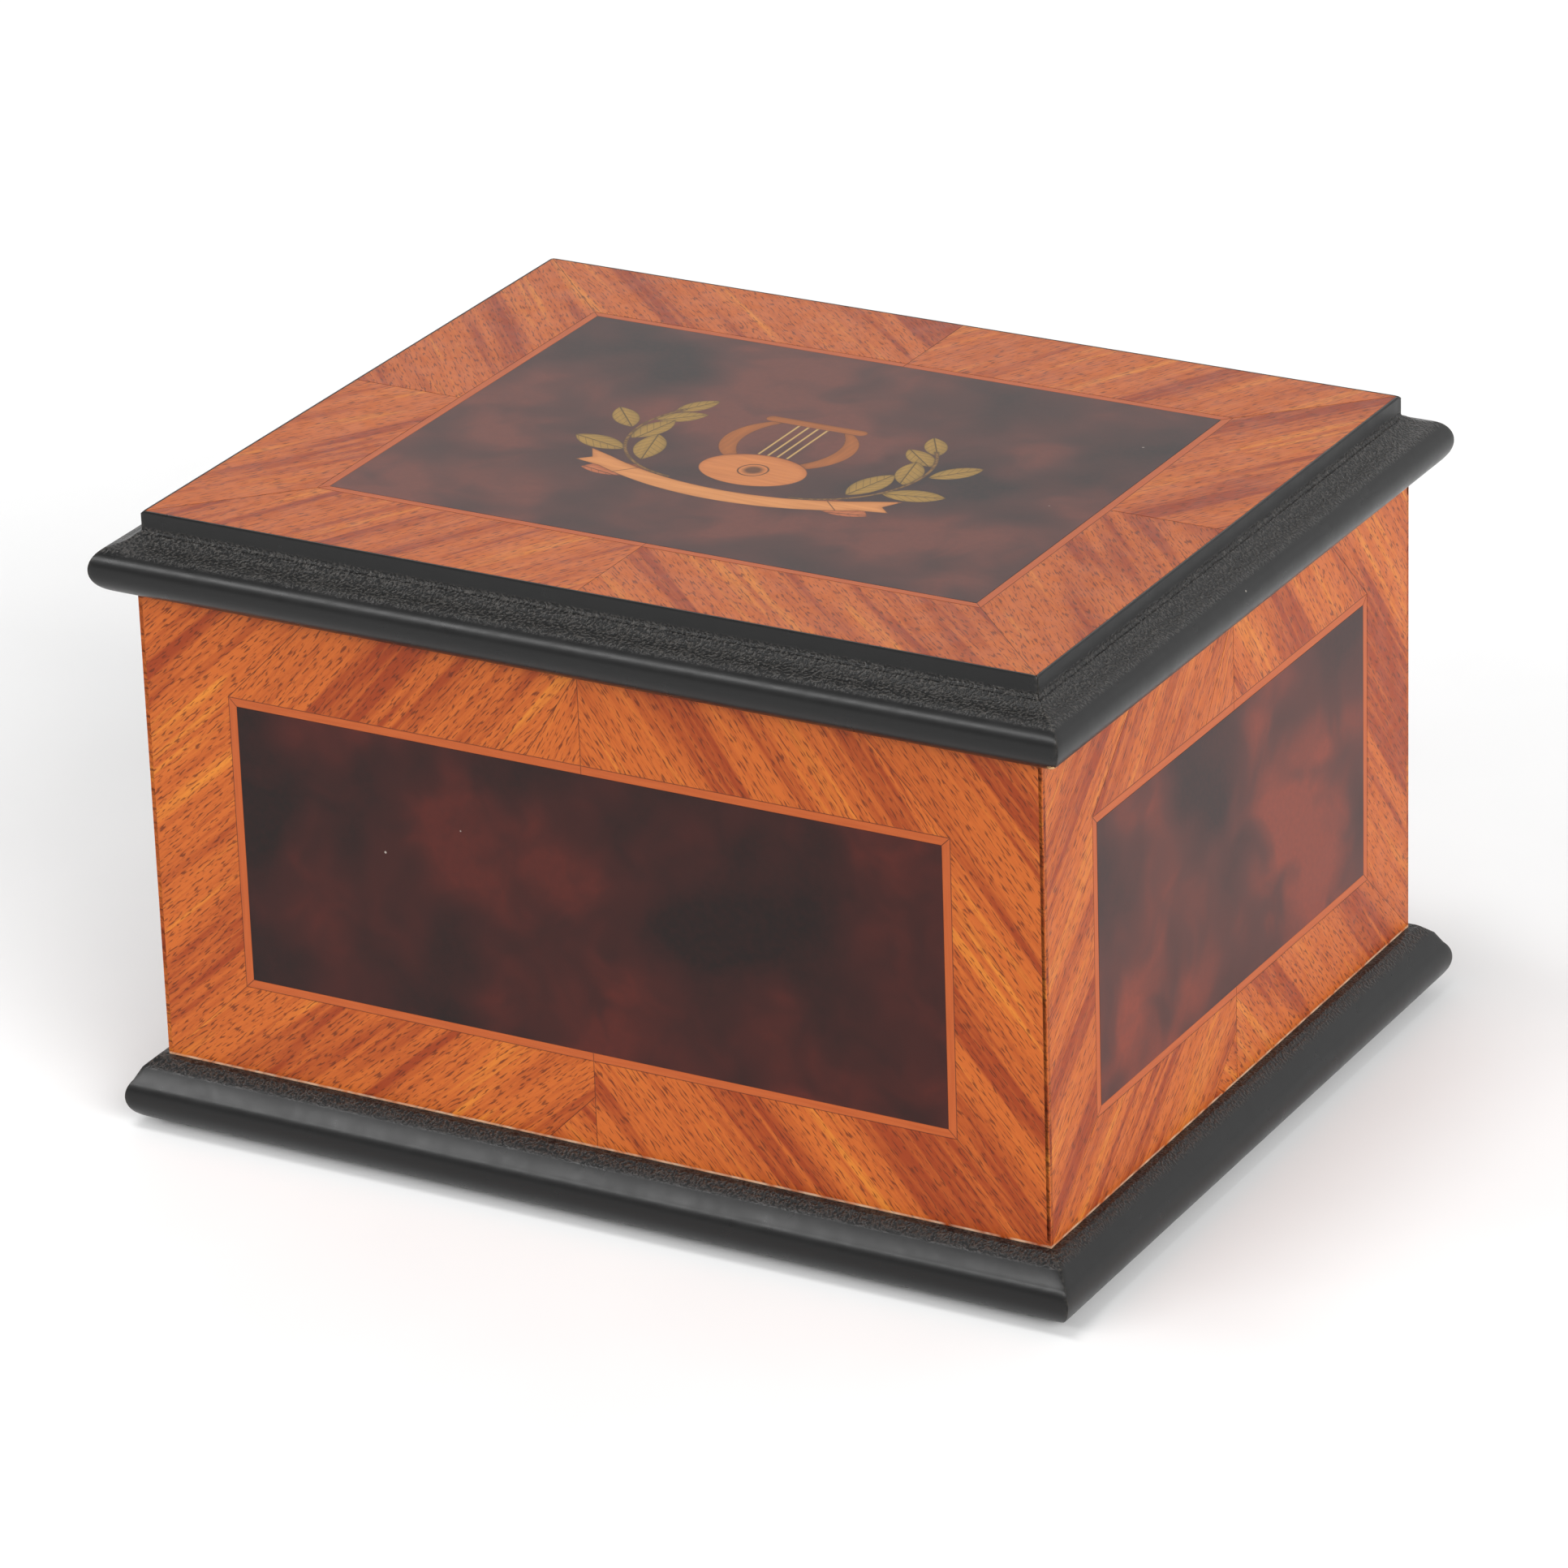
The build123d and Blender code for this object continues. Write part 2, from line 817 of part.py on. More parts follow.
def guide_screws():
    """Two screws that hold the plunger guide to the side wall."""
    x, y = plunger_place()
    low = guide_top() + guide_screw_rise
    screws = []
    for y_off in (-guide_screw_half_spacing, guide_screw_half_spacing):
        screw = Rot(0, 90, 0) * round_screw(short_screw_length)
        screws.append(Pos(-inner_x + guide_plate, y + y_off, low) * screw)
    return screws


def compartment_screws():
    return group(window_screws() + guide_screws())


def lining_floor():
    """Padded floor of the lined compartment."""
    gap = lining_thickness + pad_clearance
    x0, x1, y = divider_right + gap, inner_x - gap, inner_y - gap
    pad = block(x0, x1, -y, y, floor_top, floor_top + pad_thickness)
    return fillet(pad.edges().group_by(Axis.Z)[-1], pad_thickness * 0.35)


def lining_sides():
    x0, x1, y = divider_right, inner_x, inner_y
    t = lining_thickness
    top = rim - lining_drop
    divider_top = window_top
    return group(
        [
            block(x0, x0 + t, -y, y, floor_top, divider_top),
            block(x1 - t, x1, -y, y, floor_top, top),
            block(x0 + t, x1 - t, -y, -y + t, floor_top, top),
            block(x0 + t, x1 - t, y - t, y, floor_top, top),
        ]
    )


def felt_feet():
    o = -wall_thickness + foot_radius + foot_inset
    x, y = box_width / 2 + o, box_depth / 2 + o
    return group(rod(a, b, 0, foot_height, foot_radius) for a in (-x, x) for b in (-y, y))


# Lid


def lid_panel():
    low = lid_low + lid_recess
    return block(-inner_x, inner_x, -inner_y, inner_y, low, lid_top - veneer)


def lid_lining():
    x, y = inner_x - pad_clearance, inner_y - pad_clearance
    high = lid_low + lid_recess
    pad = block(-x, x, -y, y, high - lining_thickness, high)
    return fillet(pad.edges().group_by(Axis.Z)[0], lining_thickness * 0.4)


# Hinges


def hinge_places():
    return (-hinge_spacing / 2, hinge_spacing / 2)


def hinge_notch(x):
    """Room for the knuckles and the stop lips in the lid's back moulding."""
    half = hinge_length / 2 + hinge_notch_clearance
    top = hinge_z + stop_lip_outer + hinge_notch_clearance
    return block(x - half, x + half, box_depth / 2, hinge_y + lid_reach, lid_low, top)


def leaf_plate(x, z0, z1):
    half = hinge_length / 2
    return block(
        x - half, x + half, box_depth / 2 - hinge_leaf_depth, hinge_y, z0, z1
    )


def wall_leaf_plate(x):
    high = hinge_z - hinge_leaf_gap / 2
    return leaf_plate(x, high - hinge_leaf, high)


def lid_leaf_plate(x):
    low = hinge_z + hinge_leaf_gap / 2
    return leaf_plate(x, low, low + hinge_leaf)


def knuckle_spans(x):
    """The three knuckles along the pin: wall, lid, wall."""
    third = hinge_length / 3
    x0 = x - hinge_length / 2
    gap = knuckle_gap / 2
    return [
        (x0, x0 + third - gap),
        (x0 + third + gap, x0 + 2 * third - gap),
        (x0 + 2 * third + gap, x0 + hinge_length),
    ]


def stop_lip(x, spans, start, turn):
    """A lip behind the knuckles, from angle start, with a web at each given span."""

    def sector(x0, x1, inner, outer):
        points = []
        for radius, angle in (
            (inner, start),
            (outer, start),
            (outer, start + turn),
            (inner, start + turn),
        ):
            a = radians(angle)
            points.append((radius * cos(a), radius * sin(a)))
        plane = Plane(origin=(x0, hinge_y, hinge_z), x_dir=(0, 1, 0), z_dir=(1, 0, 0))
        return extrude(plane * flat_polygon(points), x1 - x0)

    half = hinge_length / 2
    lip = sector(x - half, x + half, stop_lip_inner, stop_lip_outer)
    for x0, x1 in spans:
        lip += sector(x0, x1, stop_web_inner, stop_lip_inner)
    return lip


def leaf_with_knuckles(x, plate, spans, start, turn):
    """A hinge leaf, cut back to the knuckles that belong to it."""
    half = hinge_length / 2
    cut = rod_along_x(hinge_y, hinge_z, x - half, x + half, knuckle_radius + knuckle_gap)
    solid = plate - cut
    for x0, x1 in spans:
        web = plate & block(x0, x1, box_depth / 2, hinge_y, 0, lid_top)
        solid += web + rod_along_x(hinge_y, hinge_z, x0, x1, knuckle_radius)
    return solid + stop_lip(x, spans, start, turn)


def hinge_wall_leaf(x):
    spans = knuckle_spans(x)
    start = -lid_opening / 2
    solid = leaf_with_knuckles(
        x, wall_leaf_plate(x), (spans[0], spans[2]), start, -stop_lip_angle
    )
    half = hinge_length / 2
    solid -= rod_along_x(hinge_y, hinge_z, x - half, x + half, hinge_pin_radius)
    for screw in wall_hinge_screws(x):
        solid -= screw
    return solid


def hinge_lid_leaf(x):
    span = knuckle_spans(x)[1]
    start = lid_opening / 2 + stop_clearance_angle
    solid = leaf_with_knuckles(x, lid_leaf_plate(x), (span,), start, stop_lip_angle)
    bore = hinge_pin_radius + running_clearance
    half = hinge_length / 2
    solid -= rod_along_x(hinge_y, hinge_z, x - half, x + half, bore)
    for screw in lid_hinge_screws(x):
        solid -= screw
    return solid


def hinge_pins():
    half = hinge_length / 2
    return group(
        rod_along_x(hinge_y, hinge_z, x - half, x + half, hinge_pin_radius)
        for x in hinge_places()
    )


def sunk_screw():
    """A slotted countersunk screw that points down, with its face at the origin."""
    head = Pos(0, 0, -hinge_screw_sink / 2) * Cone(
        hinge_screw_radius, hinge_screw_head, hinge_screw_sink
    )
    shank = rod(0, 0, -hinge_screw_length, -hinge_screw_sink, hinge_screw_radius)
    half, w = hinge_screw_head, slot_width / 2
    return head + shank - block(-half, half, -w, w, -slot_depth / 2, 0)


def hinge_screw_places(x):
    y = box_depth / 2 - hinge_leaf_depth / 2
    return [(x - hinge_screw_spacing / 2, y), (x + hinge_screw_spacing / 2, y)]


def wall_hinge_screws(x):
    z = hinge_z - hinge_leaf_gap / 2
    return [Pos(a, y, z) * sunk_screw() for a, y in hinge_screw_places(x)]


def lid_hinge_screws(x):
    z = hinge_z + hinge_leaf_gap / 2
    turned = Rot(180, 0, 0) * sunk_screw()
    return [Pos(a, y, z) * turned for a, y in hinge_screw_places(x)]


def wall_screw_shanks(x):
    return group(wall_hinge_screws(x))


def lid_screw_shanks(x):
    return group(lid_hinge_screws(x))


# Movement


def barrel_axis():
    return (cylinder_offset, barrel_offset)


def bearing_post(y0, y1):
    """An upright of the bedplate that holds the cylinder's axle."""
    half = post_width / 2
    x = cylinder_offset
    post = block(x - half, x + half, y0, y1, 0, axle_height)
    post += rod_along_y(x, axle_height, y0, y1, half)
    return post - rod_along_y(x, axle_height, y0, y1, axle_radius + running_clearance)


def bedplate():
    """Cast plate with the cylinder's posts, the comb's seat and the arbor's bush."""
    x, y = bed_width / 2, bed_length / 2
    plate = block(-x, x, -y, y, -bed_thickness, 0)
    plate = fillet(plate.edges().filter_by(Axis.Z), bed_corner)
    plate += bearing_post(near_post_low, near_post_high)
    plate += bearing_post(far_post_low, far_post_high)
    seat_x = comb_tip + tooth_length
    seat_top = axle_height - tooth_thickness
    plate += block(seat_x, comb_back, drum_start, drum_end, 0, seat_top)
    low = -bed_thickness - bottom_thickness
    plate += rod(*barrel_axis(), low, 0, bush_radius)
    plate -= rod(*barrel_axis(), low, 0, arbor_radius + running_clearance)
    for screw in comb_screw_solids() + governor_screw_solids() + [click_screw_solid()]:
        plate -= screw
    plate = movement * plate
    for screw in bedplate_screw_solids():
        plate -= screw
    return plate


def bedplate_screw_solids():
    """Screws from below the bottom panel into the bedplate."""
    x, y = bed_width / 2 - bed_screw_inset, bed_length / 2 - bed_screw_inset
    reach = bottom_thickness - round_screw_head_height + bed_thickness
    screws = []
    for a, b in ((-x, -y), (x, -y), (x, y)):
        screw = Rot(180, 0, 0) * round_screw(reach)
        low = -bed_thickness - bottom_thickness + round_screw_head_height
        screws.append(movement * Pos(a, b, low) * screw)
    return screws


def comb_body():
    """Steel comb: a thick base and tuned teeth with lead under the bass ones."""
    root = comb_tip + tooth_length
    low = axle_height - tooth_thickness
    high = low + comb_base_thickness
    body = block(root, comb_back, drum_start, drum_end, low, high)
    teeth = []
    for i in range(tooth_count):
        y0 = drum_start + tooth_pitch * i + tooth_gap / 2
        y1 = y0 + tooth_pitch - tooth_gap
        teeth.append(block(comb_tip, root, y0, y1, low, axle_height))
        if i < tooth_count // 3:
            lead = lead_height - lead_step * i
            x0 = comb_tip + lead_inset
            teeth.append(block(x0, x0 + lead_length, y0, y1, low - lead, low))
    body = body.fuse(*teeth)
    return body


def comb():
    solid = comb_body()
    for screw in comb_screw_solids():
        solid -= screw
    return movement * solid


def comb_screw_solids():
    x = comb_tip + tooth_length + comb_base_width / 2
    top = axle_height - tooth_thickness + comb_base_thickness
    places = (drum_start + comb_screw_inset, drum_end - comb_screw_inset)
    return [Pos(x, y, top) * round_screw(round_screw_length) for y in places]


# Gears


def gear_face(teeth, module, shift):
    """A gear's outline with slender straight-sided teeth, one of them at angle shift."""
    pitch_radius = module * teeth / 2
    outer = pitch_radius + tooth_addendum * module
    inner = pitch_radius - tooth_dedendum * module
    half = tooth_share * pi * module / 2
    points = []
    for i in range(teeth):
        centre = radians(shift) + 2 * pi * i / teeth
        root_half = asin(half * 1.25 / inner)
        tip_half = asin(half * tip_share / outer)
        for radius, angle in (
            (inner, centre - root_half),
            (outer, centre - tip_half),
            (outer, centre + tip_half),
            (inner, centre + root_half),
        ):
            points.append((radius * cos(angle), radius * sin(angle)))
    return flat_polygon(points)


def gear_along_y(x, z, y0, y1, teeth, module, shift):
    """A gear whose axis lies along Y; shift is measured from +X towards +Z."""
    plane = Plane(origin=(x, y1, z), x_dir=(1, 0, 0), z_dir=(0, -1, 0))
    return extrude(plane * gear_face(teeth, module, shift), y1 - y0)


def melody_pins():
    """Pins in 18 tracks round the drum, spread by a fixed rule."""
    pins = []
    for track in range(tooth_count):
        y = drum_start + tooth_pitch * (track + 0.5)
        for i in range(pins_per_tooth):
            step = (track * 7 + i * 5 + (track * i) % 4) % 23
            angle = 360 * i / pins_per_tooth + step * pin_step
            pin = rod(0, 0, drum_radius - pin_root, pins_top, pin_radius)
            pins.append(Pos(cylinder_offset, y, axle_height) * Rot(0, angle, 0) * pin)
    return pins


def cylinder():
    """Drum with pins, axle, driven pinion and the wheel that turns the governor."""
    x, z = cylinder_offset, axle_height
    mesh_y = barrel_offset + crown_radius
    pinion_low, pinion_high = mesh_y - crown_face / 2, mesh_y + crown_face / 2
    drum = rod_along_y(x, z, drum_start, drum_end, drum_radius)
    drum = drum.fuse(*melody_pins())
    drum += rod_along_y(x, z, pinion_low, far_post_high + axle_end, axle_radius)
    drum += gear_along_y(
        x, z, pinion_low, pinion_high, cylinder_pinion_teeth, crown_module, -90
    )
    drum += gear_along_y(
        x, z, wheel_low, wheel_high, wheel_teeth, wheel_module, 180 / wheel_teeth
    )
    collar = rod_along_y(x, z, drum_end, wheel_low, axle_radius * 2)
    return movement * (drum + collar)


def spring_barrel():
    """Closed can with crown teeth on its rim, free to turn on the arbor."""
    x, y = barrel_axis()
    can = rod(x, y, barrel_floor, crown_root, barrel_radius)
    hollow = barrel_radius - barrel_wall
    can -= rod(x, y, barrel_floor + barrel_wall, crown_root - barrel_wall, hollow)
    tooth_inner = crown_radius - crown_face / 2 - crown_inner_extra
    tooth_outer = barrel_radius - crown_outer_inset
    low = crown_root - crown_sink
    half = crown_tooth_width / 2
    high = crown_plane + tooth_addendum * crown_module
    teeth = []
    for i in range(crown_teeth):
        turn = 360 * (i + 0.5) / crown_teeth + 90
        tooth = block(tooth_inner, tooth_outer, -half, half, low, high)
        teeth.append(Pos(x, y, 0) * Rot(0, 0, turn) * tooth)
    can = can.fuse(*teeth)
    can -= rod(x, y, barrel_floor, high, arbor_radius + running_clearance)
    return movement * can


def half_ring(radius, shift, side):
    """Half a turn of spring strip, of the given middle radius, above or below the axis."""
    t = spring_thickness / 2
    ring = Circle(radius + t) - Circle(radius - t)
    reach = barrel_radius
    keep = Pos(0, side * reach / 2) * Rectangle(2 * reach, reach)
    return Pos(shift, 0) * (ring & keep)


def mainspring():
    """Spiral strip between the arbor and the barrel's wall."""
    inner = arbor_radius + spring_clearance * 2 + spring_thickness / 2
    outer = barrel_radius - barrel_wall - spring_clearance - spring_thickness / 2
    step = (outer - inner) / (2 * spring_turns + 1)
    strip = None
    for i in range(2 * spring_turns):
        side = 1 if i % 2 == 0 else -1
        shift = 0 if i % 2 == 0 else -step
        part = half_ring(inner + step * (i + 1), shift, side)
        strip = part if strip is None else strip + part
    x, y = barrel_axis()
    low = barrel_floor + barrel_wall + spring_clearance
    high = crown_root - barrel_wall - spring_clearance
    return movement * Pos(x, y, low) * extrude(strip, high - low)


def ratchet_face():
    points = []
    for i in range(ratchet_teeth):
        turn = 2 * pi * i / ratchet_teeth
        low = ratchet_radius - ratchet_depth
        points.append((low * cos(turn), low * sin(turn)))
        points.append((ratchet_radius * cos(turn), ratchet_radius * sin(turn)))
    return flat_polygon(points)


def winding_arbor():
    """Shaft from the barrel down to the key, with the ratchet wheel on it."""
    x, y = barrel_axis()
    low = -bed_thickness - bottom_thickness - key_drop - key_hub_height
    shaft = rod(x, y, low, crown_root + arbor_end, arbor_radius)
    wheel = extrude(ratchet_face(), ratchet_thickness)
    return movement * (shaft + Pos(x, y, ratchet_low) * wheel)


def winding_key():
    """Hub and two rounded wings, each with a hole."""
    x, y = barrel_axis()
    top = -bed_thickness - bottom_thickness - key_drop
    hub_low = top - key_hub_height
    floor = -(floor_top + bed_thickness) + key_floor_clearance
    height = hub_low - floor
    wing = SlotOverall(key_wing_span, height)
    for hand in (-1, 1):
        wing -= Pos(hand * (key_wing_span / 2 - height / 2), 0) * Circle(key_hole_radius)
    plane = Plane(
        origin=(x, y + key_wing_thickness / 2, floor + height / 2),
        x_dir=(1, 0, 0),
        z_dir=(0, -1, 0),
    )
    key = extrude(plane * wing, key_wing_thickness)
    key += rod(x, y, hub_low - height / 2, top, key_hub_radius)
    return movement * (key - rod(x, y, hub_low, top, arbor_radius))


def click_place():
    """Where the click blade is screwed down, outside the barrel."""
    x, y = barrel_axis()
    blade_y = y + ratchet_radius + click_clearance + click_blade / 2
    return x - barrel_radius - click_pad_gap - click_pad / 2, blade_y


def click():
    """Spring blade that lies along the ratchet wheel."""
    x, y = click_place()
    half = click_pad / 2
    low, high = ratchet_low, ratchet_low + ratchet_thickness
    pad = block(x - half, x + half, y - half, y + half, 0, high)
    tip = barrel_axis()[0] + click_tip_past
    half_blade = click_blade / 2
    pad += block(x, tip, y - half_blade, y + half_blade, low, high)
    return movement * (pad - click_screw_solid())


def click_screw_solid():
    x, y = click_place()
    return Pos(x, y, ratchet_low + ratchet_thickness) * round_screw(
        ratchet_low + ratchet_thickness + bed_thickness - screw_point_cover
    )


def click_screw():
    return movement * click_screw_solid()


# Governor


def governor_screw_places():
    x = worm_x - governor_screw_shift
    near_y = worm_wheel_along + near_screw_reach
    return [(x, near_y), (x, far_cheek_low - far_screw_inset)]


def governor_screw_solids():
    length = governor_base + bed_thickness - screw_point_cover
    return [
        Pos(x, y, governor_base) * round_screw(length)
        for x, y in governor_screw_places()
    ]


def governor_bracket():
    """Base with two cheeks for the worm wheel and an arm for the worm."""
    x0, x1 = worm_x - bracket_worm_side, governor_x + bracket_wheel_side
    y0, y1 = near_cheek_low, far_cheek_low + governor_cheek
    frame = block(x0, x1, y0, y1, 0, governor_base)
    frame += block(x0, x1, y0, y0 + governor_cheek, 0, bracket_top)
    far_x, far_top = governor_x - bracket_wheel_side, axle_height + far_cheek_rise
    frame += block(far_x, x1, far_cheek_low, y1, 0, far_top)
    arm_high = worm_wheel_along + bracket_arm_reach
    arm_low = bracket_top - bracket_arm
    frame += block(x0, worm_x + bracket_arm_reach, y0, arm_high, arm_low, bracket_top)
    seat_top = governor_base + worm_seat_height
    frame += rod(worm_x, worm_wheel_along, 0, seat_top, worm_seat_radius)
    hole = governor_pivot + running_clearance
    frame -= rod_along_y(governor_x, axle_height, y0, y1, hole)
    frame -= rod(worm_x, worm_wheel_along, governor_base, seat_top, hole)
    arm_hole = worm_journal + running_clearance
    frame -= rod(worm_x, worm_wheel_along, arm_low, bracket_top, arm_hole)
    for screw in governor_screw_solids():
        frame -= screw
    return movement * frame


def governor_wheel():
    """Pinion and worm wheel on one arbor."""
    x, z = governor_x, axle_height
    near = near_cheek_low + governor_cheek
    pivots = rod_along_y(x, z, near_cheek_low, far_cheek_low + governor_cheek, governor_pivot)
    arbor_low, arbor_high = near + arbor_end_gap, far_cheek_low - arbor_end_gap
    arbor = rod_along_y(x, z, arbor_low, arbor_high, governor_arbor)
    pinion = gear_along_y(
        x, z, wheel_low, wheel_high, governor_pinion_teeth, wheel_module, 0
    )
    half = wheel_thickness / 2
    y = worm_wheel_along
    wheel = gear_along_y(
        x, z, y - half, y + half, worm_wheel_teeth, worm_module, 180
    )
    return movement * (pivots + arbor + pinion + wheel)


def worm_thread(pitch):
    """One thread of a worm, as a ridge swept along a helix."""
    length = worm_length - pitch
    addendum = tooth_addendum * worm_module
    outer = worm_pitch_radius + addendum
    inner = worm_core - worm_root_sink
    path = Helix(pitch=pitch, height=length, radius=worm_pitch_radius)
    root = tooth_share * pitch * worm_root_share
    tip = root * tip_share
    section = flat_polygon(
        [
            (inner - worm_pitch_radius, -root),
            (outer - worm_pitch_radius, -tip),
            (outer - worm_pitch_radius, tip),
            (inner - worm_pitch_radius, root),
        ]
    )
    start = path @ 0
    plane = Plane(origin=start, x_dir=(1, 0, 0), z_dir=path % 0)
    return sweep(plane * section, path=path, is_frenet=True)


def governor_worm():
    """Upright worm with its pivots; a gap of the thread faces the worm wheel."""
    x, y, z = worm_x, worm_wheel_along, axle_height
    pitch = pi * worm_module
    core = rod(0, 0, -worm_length / 2, worm_length / 2, worm_core)
    start = Pos(0, 0, -(worm_length - pitch) / 2)
    shift = worm_phase(pitch)
    thread = start * Rot(0, 0, shift) * worm_thread(pitch)
    worm = Pos(x, y, z) * (core + thread)
    worm += rod(x, y, governor_base + worm_foot_gap, z, governor_pivot)
    journal_low = governor_base + worm_seat_height + worm_foot_gap
    worm += rod(x, y, journal_low, fan_top, worm_journal)
    return movement * worm


def worm_phase(pitch):
    """Turn of the thread that puts a gap at the wheel's level, on the wheel's side."""
    turns = ((worm_length - pitch) / 2) / pitch
    return -360 * (turns % 1) + 180


def air_brake_fan():
    """Two vanes on a hub, pressed on the worm's arbor."""
    x, y = worm_x, worm_wheel_along
    hub = rod(x, y, fan_low, fan_top, fan_hub_radius)
    half = fan_thickness / 2
    low = fan_low + fan_hub_end
    vanes = block(x - fan_radius, x + fan_radius, y - half, y + half, low, fan_top)
    return movement * (hub + vanes - rod(x, y, fan_low, fan_top, worm_journal))


# Stop plunger


def fan_top_height():
    return floor_top + bed_thickness + fan_top


def plunger_place():
    return movement_x + worm_x - plunger_offset, worm_wheel_along


def guide_top():
    return fan_top_height() + guide_height


def plunger_top():
    return lid_low + lid_recess - lining_thickness - plunger_gap


def collar_low():
    return guide_top() + coil_length


def stop_plunger():
    """Push rod: the shut lid holds it down on the fan, and its spring lifts it."""
    x, y = plunger_place()
    low, high = fan_top_height() + plunger_gap, plunger_top()
    rod_solid = rod(x, y, low, high, plunger_radius)
    rod_solid += rod(x, y, low, low + plunger_foot_height, plunger_foot_radius)
    cap = rod(x, y, high - plunger_cap_height, high, plunger_cap_radius)
    cap = fillet(cap.edges().group_by(Axis.Z)[-1], plunger_cap_height * 0.6)
    collar_high = collar_low() + plunger_collar_height
    collar = rod(x, y, collar_low(), collar_high, plunger_collar_radius)
    return rod_solid + cap + collar


def plunger_guide():
    """Angle bracket on the side wall that the plunger slides in."""
    x, y = plunger_place()
    top, low = guide_top(), guide_top() - guide_arm
    half, high = guide_plate_half, top + guide_plate_rise
    plate = block(-inner_x, -inner_x + guide_plate, y - half, y + half, low, high)
    half = guide_arm_half
    arm = block(-inner_x, x + half, y - half, y + half, low, top)
    arm -= rod(x, y, low, top, plunger_radius + running_clearance)
    bracket = plate + arm
    for screw in guide_screws():
        bracket -= screw
    return bracket


def plunger_spring():
    """Compression spring between the guide and the plunger's collar."""
    x, y = plunger_place()
    low = guide_top() + coil_wire
    rise = coil_length - 2 * coil_wire
    path = Helix(pitch=rise / coil_turns, height=rise, radius=coil_radius - coil_wire)
    plane = Plane(origin=path @ 0, z_dir=path % 0)
    coil = sweep(plane * Circle(coil_wire), path=path, is_frenet=True)
    return Pos(x, y, low) * coil


def all_nodes():
    """Every node's name and the function that makes it."""
    nodes = {
        "felt_feet": felt_feet,
        "wall_stringing": wall_stringing,
        "bottom_panel": bottom_panel,
        "divider": divider,
        "window_ledges": window_ledges,
        "movement_window": movement_window,
        "compartment_screws": compartment_screws,
        "lining_floor": lining_floor,
        "lining_sides": lining_sides,
        "lid_panel": lid_panel,
        "lid_crossband": lid_crossband,
        "lid_stringing": lid_stringing,
        "lid_burl_panel": lid_burl_panel,
        "lid_inlay": lid_inlay,
        "lid_lining": lid_lining,
        "hinge_wall_leaves": lambda: group(map(hinge_wall_leaf, hinge_places())),
        "hinge_lid_leaves": lambda: group(map(hinge_lid_leaf, hinge_places())),
        "hinge_pins": hinge_pins,
        "hinge_wall_screws": lambda: group(sum(map(wall_hinge_screws, hinge_places()), [])),
        "hinge_lid_screws": lambda: group(sum(map(lid_hinge_screws, hinge_places()), [])),
        "bedplate": bedplate,
        "bedplate_screws": lambda: group(bedplate_screw_solids()),
        "comb": comb,
        "comb_screws": lambda: movement * group(comb_screw_solids()),
        "cylinder": cylinder,
        "spring_barrel": spring_barrel,
        "mainspring": mainspring,
        "winding_arbor": winding_arbor,
        "winding_key": winding_key,
        "click": click,
        "click_screw": click_screw,
        "governor_bracket": governor_bracket,
        "governor_screws": lambda: movement * group(governor_screw_solids()),
        "governor_wheel": governor_wheel,
        "governor_worm": governor_worm,
        "air_brake_fan": air_brake_fan,
        "stop_plunger": stop_plunger,
        "plunger_guide": plunger_guide,
        "plunger_spring": plunger_spring,
    }
    for side in sides:
        nodes["base_moulding_" + side] = lambda side=side: base_moulding(side)
        nodes["wall_" + side] = lambda side=side: wall(side)
        nodes["crossband_" + side] = lambda side=side: crossband(side)
        nodes["burl_panel_" + side] = lambda side=side: burl_panel(side)
        nodes["lid_moulding_" + side] = lambda side=side: lid_moulding(side)
    return nodes


os.makedirs("parts", exist_ok=True)
for name, make in all_nodes().items():
    export_step(make(), f"parts/{name}.step")
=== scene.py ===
import json
import math
import random

import bmesh
import bpy
from mathutils import Matrix, Vector, noise
from mathutils.geometry import delaunay_2d_cdt


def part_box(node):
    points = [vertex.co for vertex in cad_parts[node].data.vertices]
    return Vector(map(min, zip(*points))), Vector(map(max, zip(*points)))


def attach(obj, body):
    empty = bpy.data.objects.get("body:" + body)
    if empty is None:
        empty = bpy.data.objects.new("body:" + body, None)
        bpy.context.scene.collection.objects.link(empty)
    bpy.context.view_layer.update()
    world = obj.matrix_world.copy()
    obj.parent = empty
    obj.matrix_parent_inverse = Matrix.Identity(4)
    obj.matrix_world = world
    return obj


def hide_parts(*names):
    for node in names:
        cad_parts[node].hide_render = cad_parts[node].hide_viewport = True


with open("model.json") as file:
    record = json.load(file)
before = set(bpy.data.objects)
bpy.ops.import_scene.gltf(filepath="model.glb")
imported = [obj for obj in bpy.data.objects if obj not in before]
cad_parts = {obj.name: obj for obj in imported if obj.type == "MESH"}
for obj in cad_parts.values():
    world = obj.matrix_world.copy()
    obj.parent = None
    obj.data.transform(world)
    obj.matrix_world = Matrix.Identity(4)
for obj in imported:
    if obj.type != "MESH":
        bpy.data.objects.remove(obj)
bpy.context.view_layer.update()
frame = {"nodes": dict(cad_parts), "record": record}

# A music box with a hinged lid: veneered walls and lid, black lacquered mouldings,
# a lyre in marquetry, a comb and cylinder movement and a velvet-lined compartment.

bl_info = {
    "name": "Veneered music box",
    "version": (1, 0, 0),
    "blender": (4, 5, 0),
    "location": "View3D > Sidebar > Music box",
    "description": "Dresses the frame of a music box with veneers, mouldings, linings and metal",
    "category": "Object",
}

MM = 0.001
SIDES = {"front": 0, "right": 90, "back": 180, "left": 270}
NODES = frame["nodes"]
BODY_OF = {n: b for b, ns in frame["record"]["behaviour"]["bodies"].items() for n in ns}


def linear(code):
    """Linear colour of an sRGB hex value."""
    channels = [int(code[i : i + 2], 16) / 255 for i in (1, 3, 5)]
    return tuple(
        c / 12.92 if c <= 0.04045 else ((c + 0.055) / 1.055) ** 2.4 for c in channels
    )


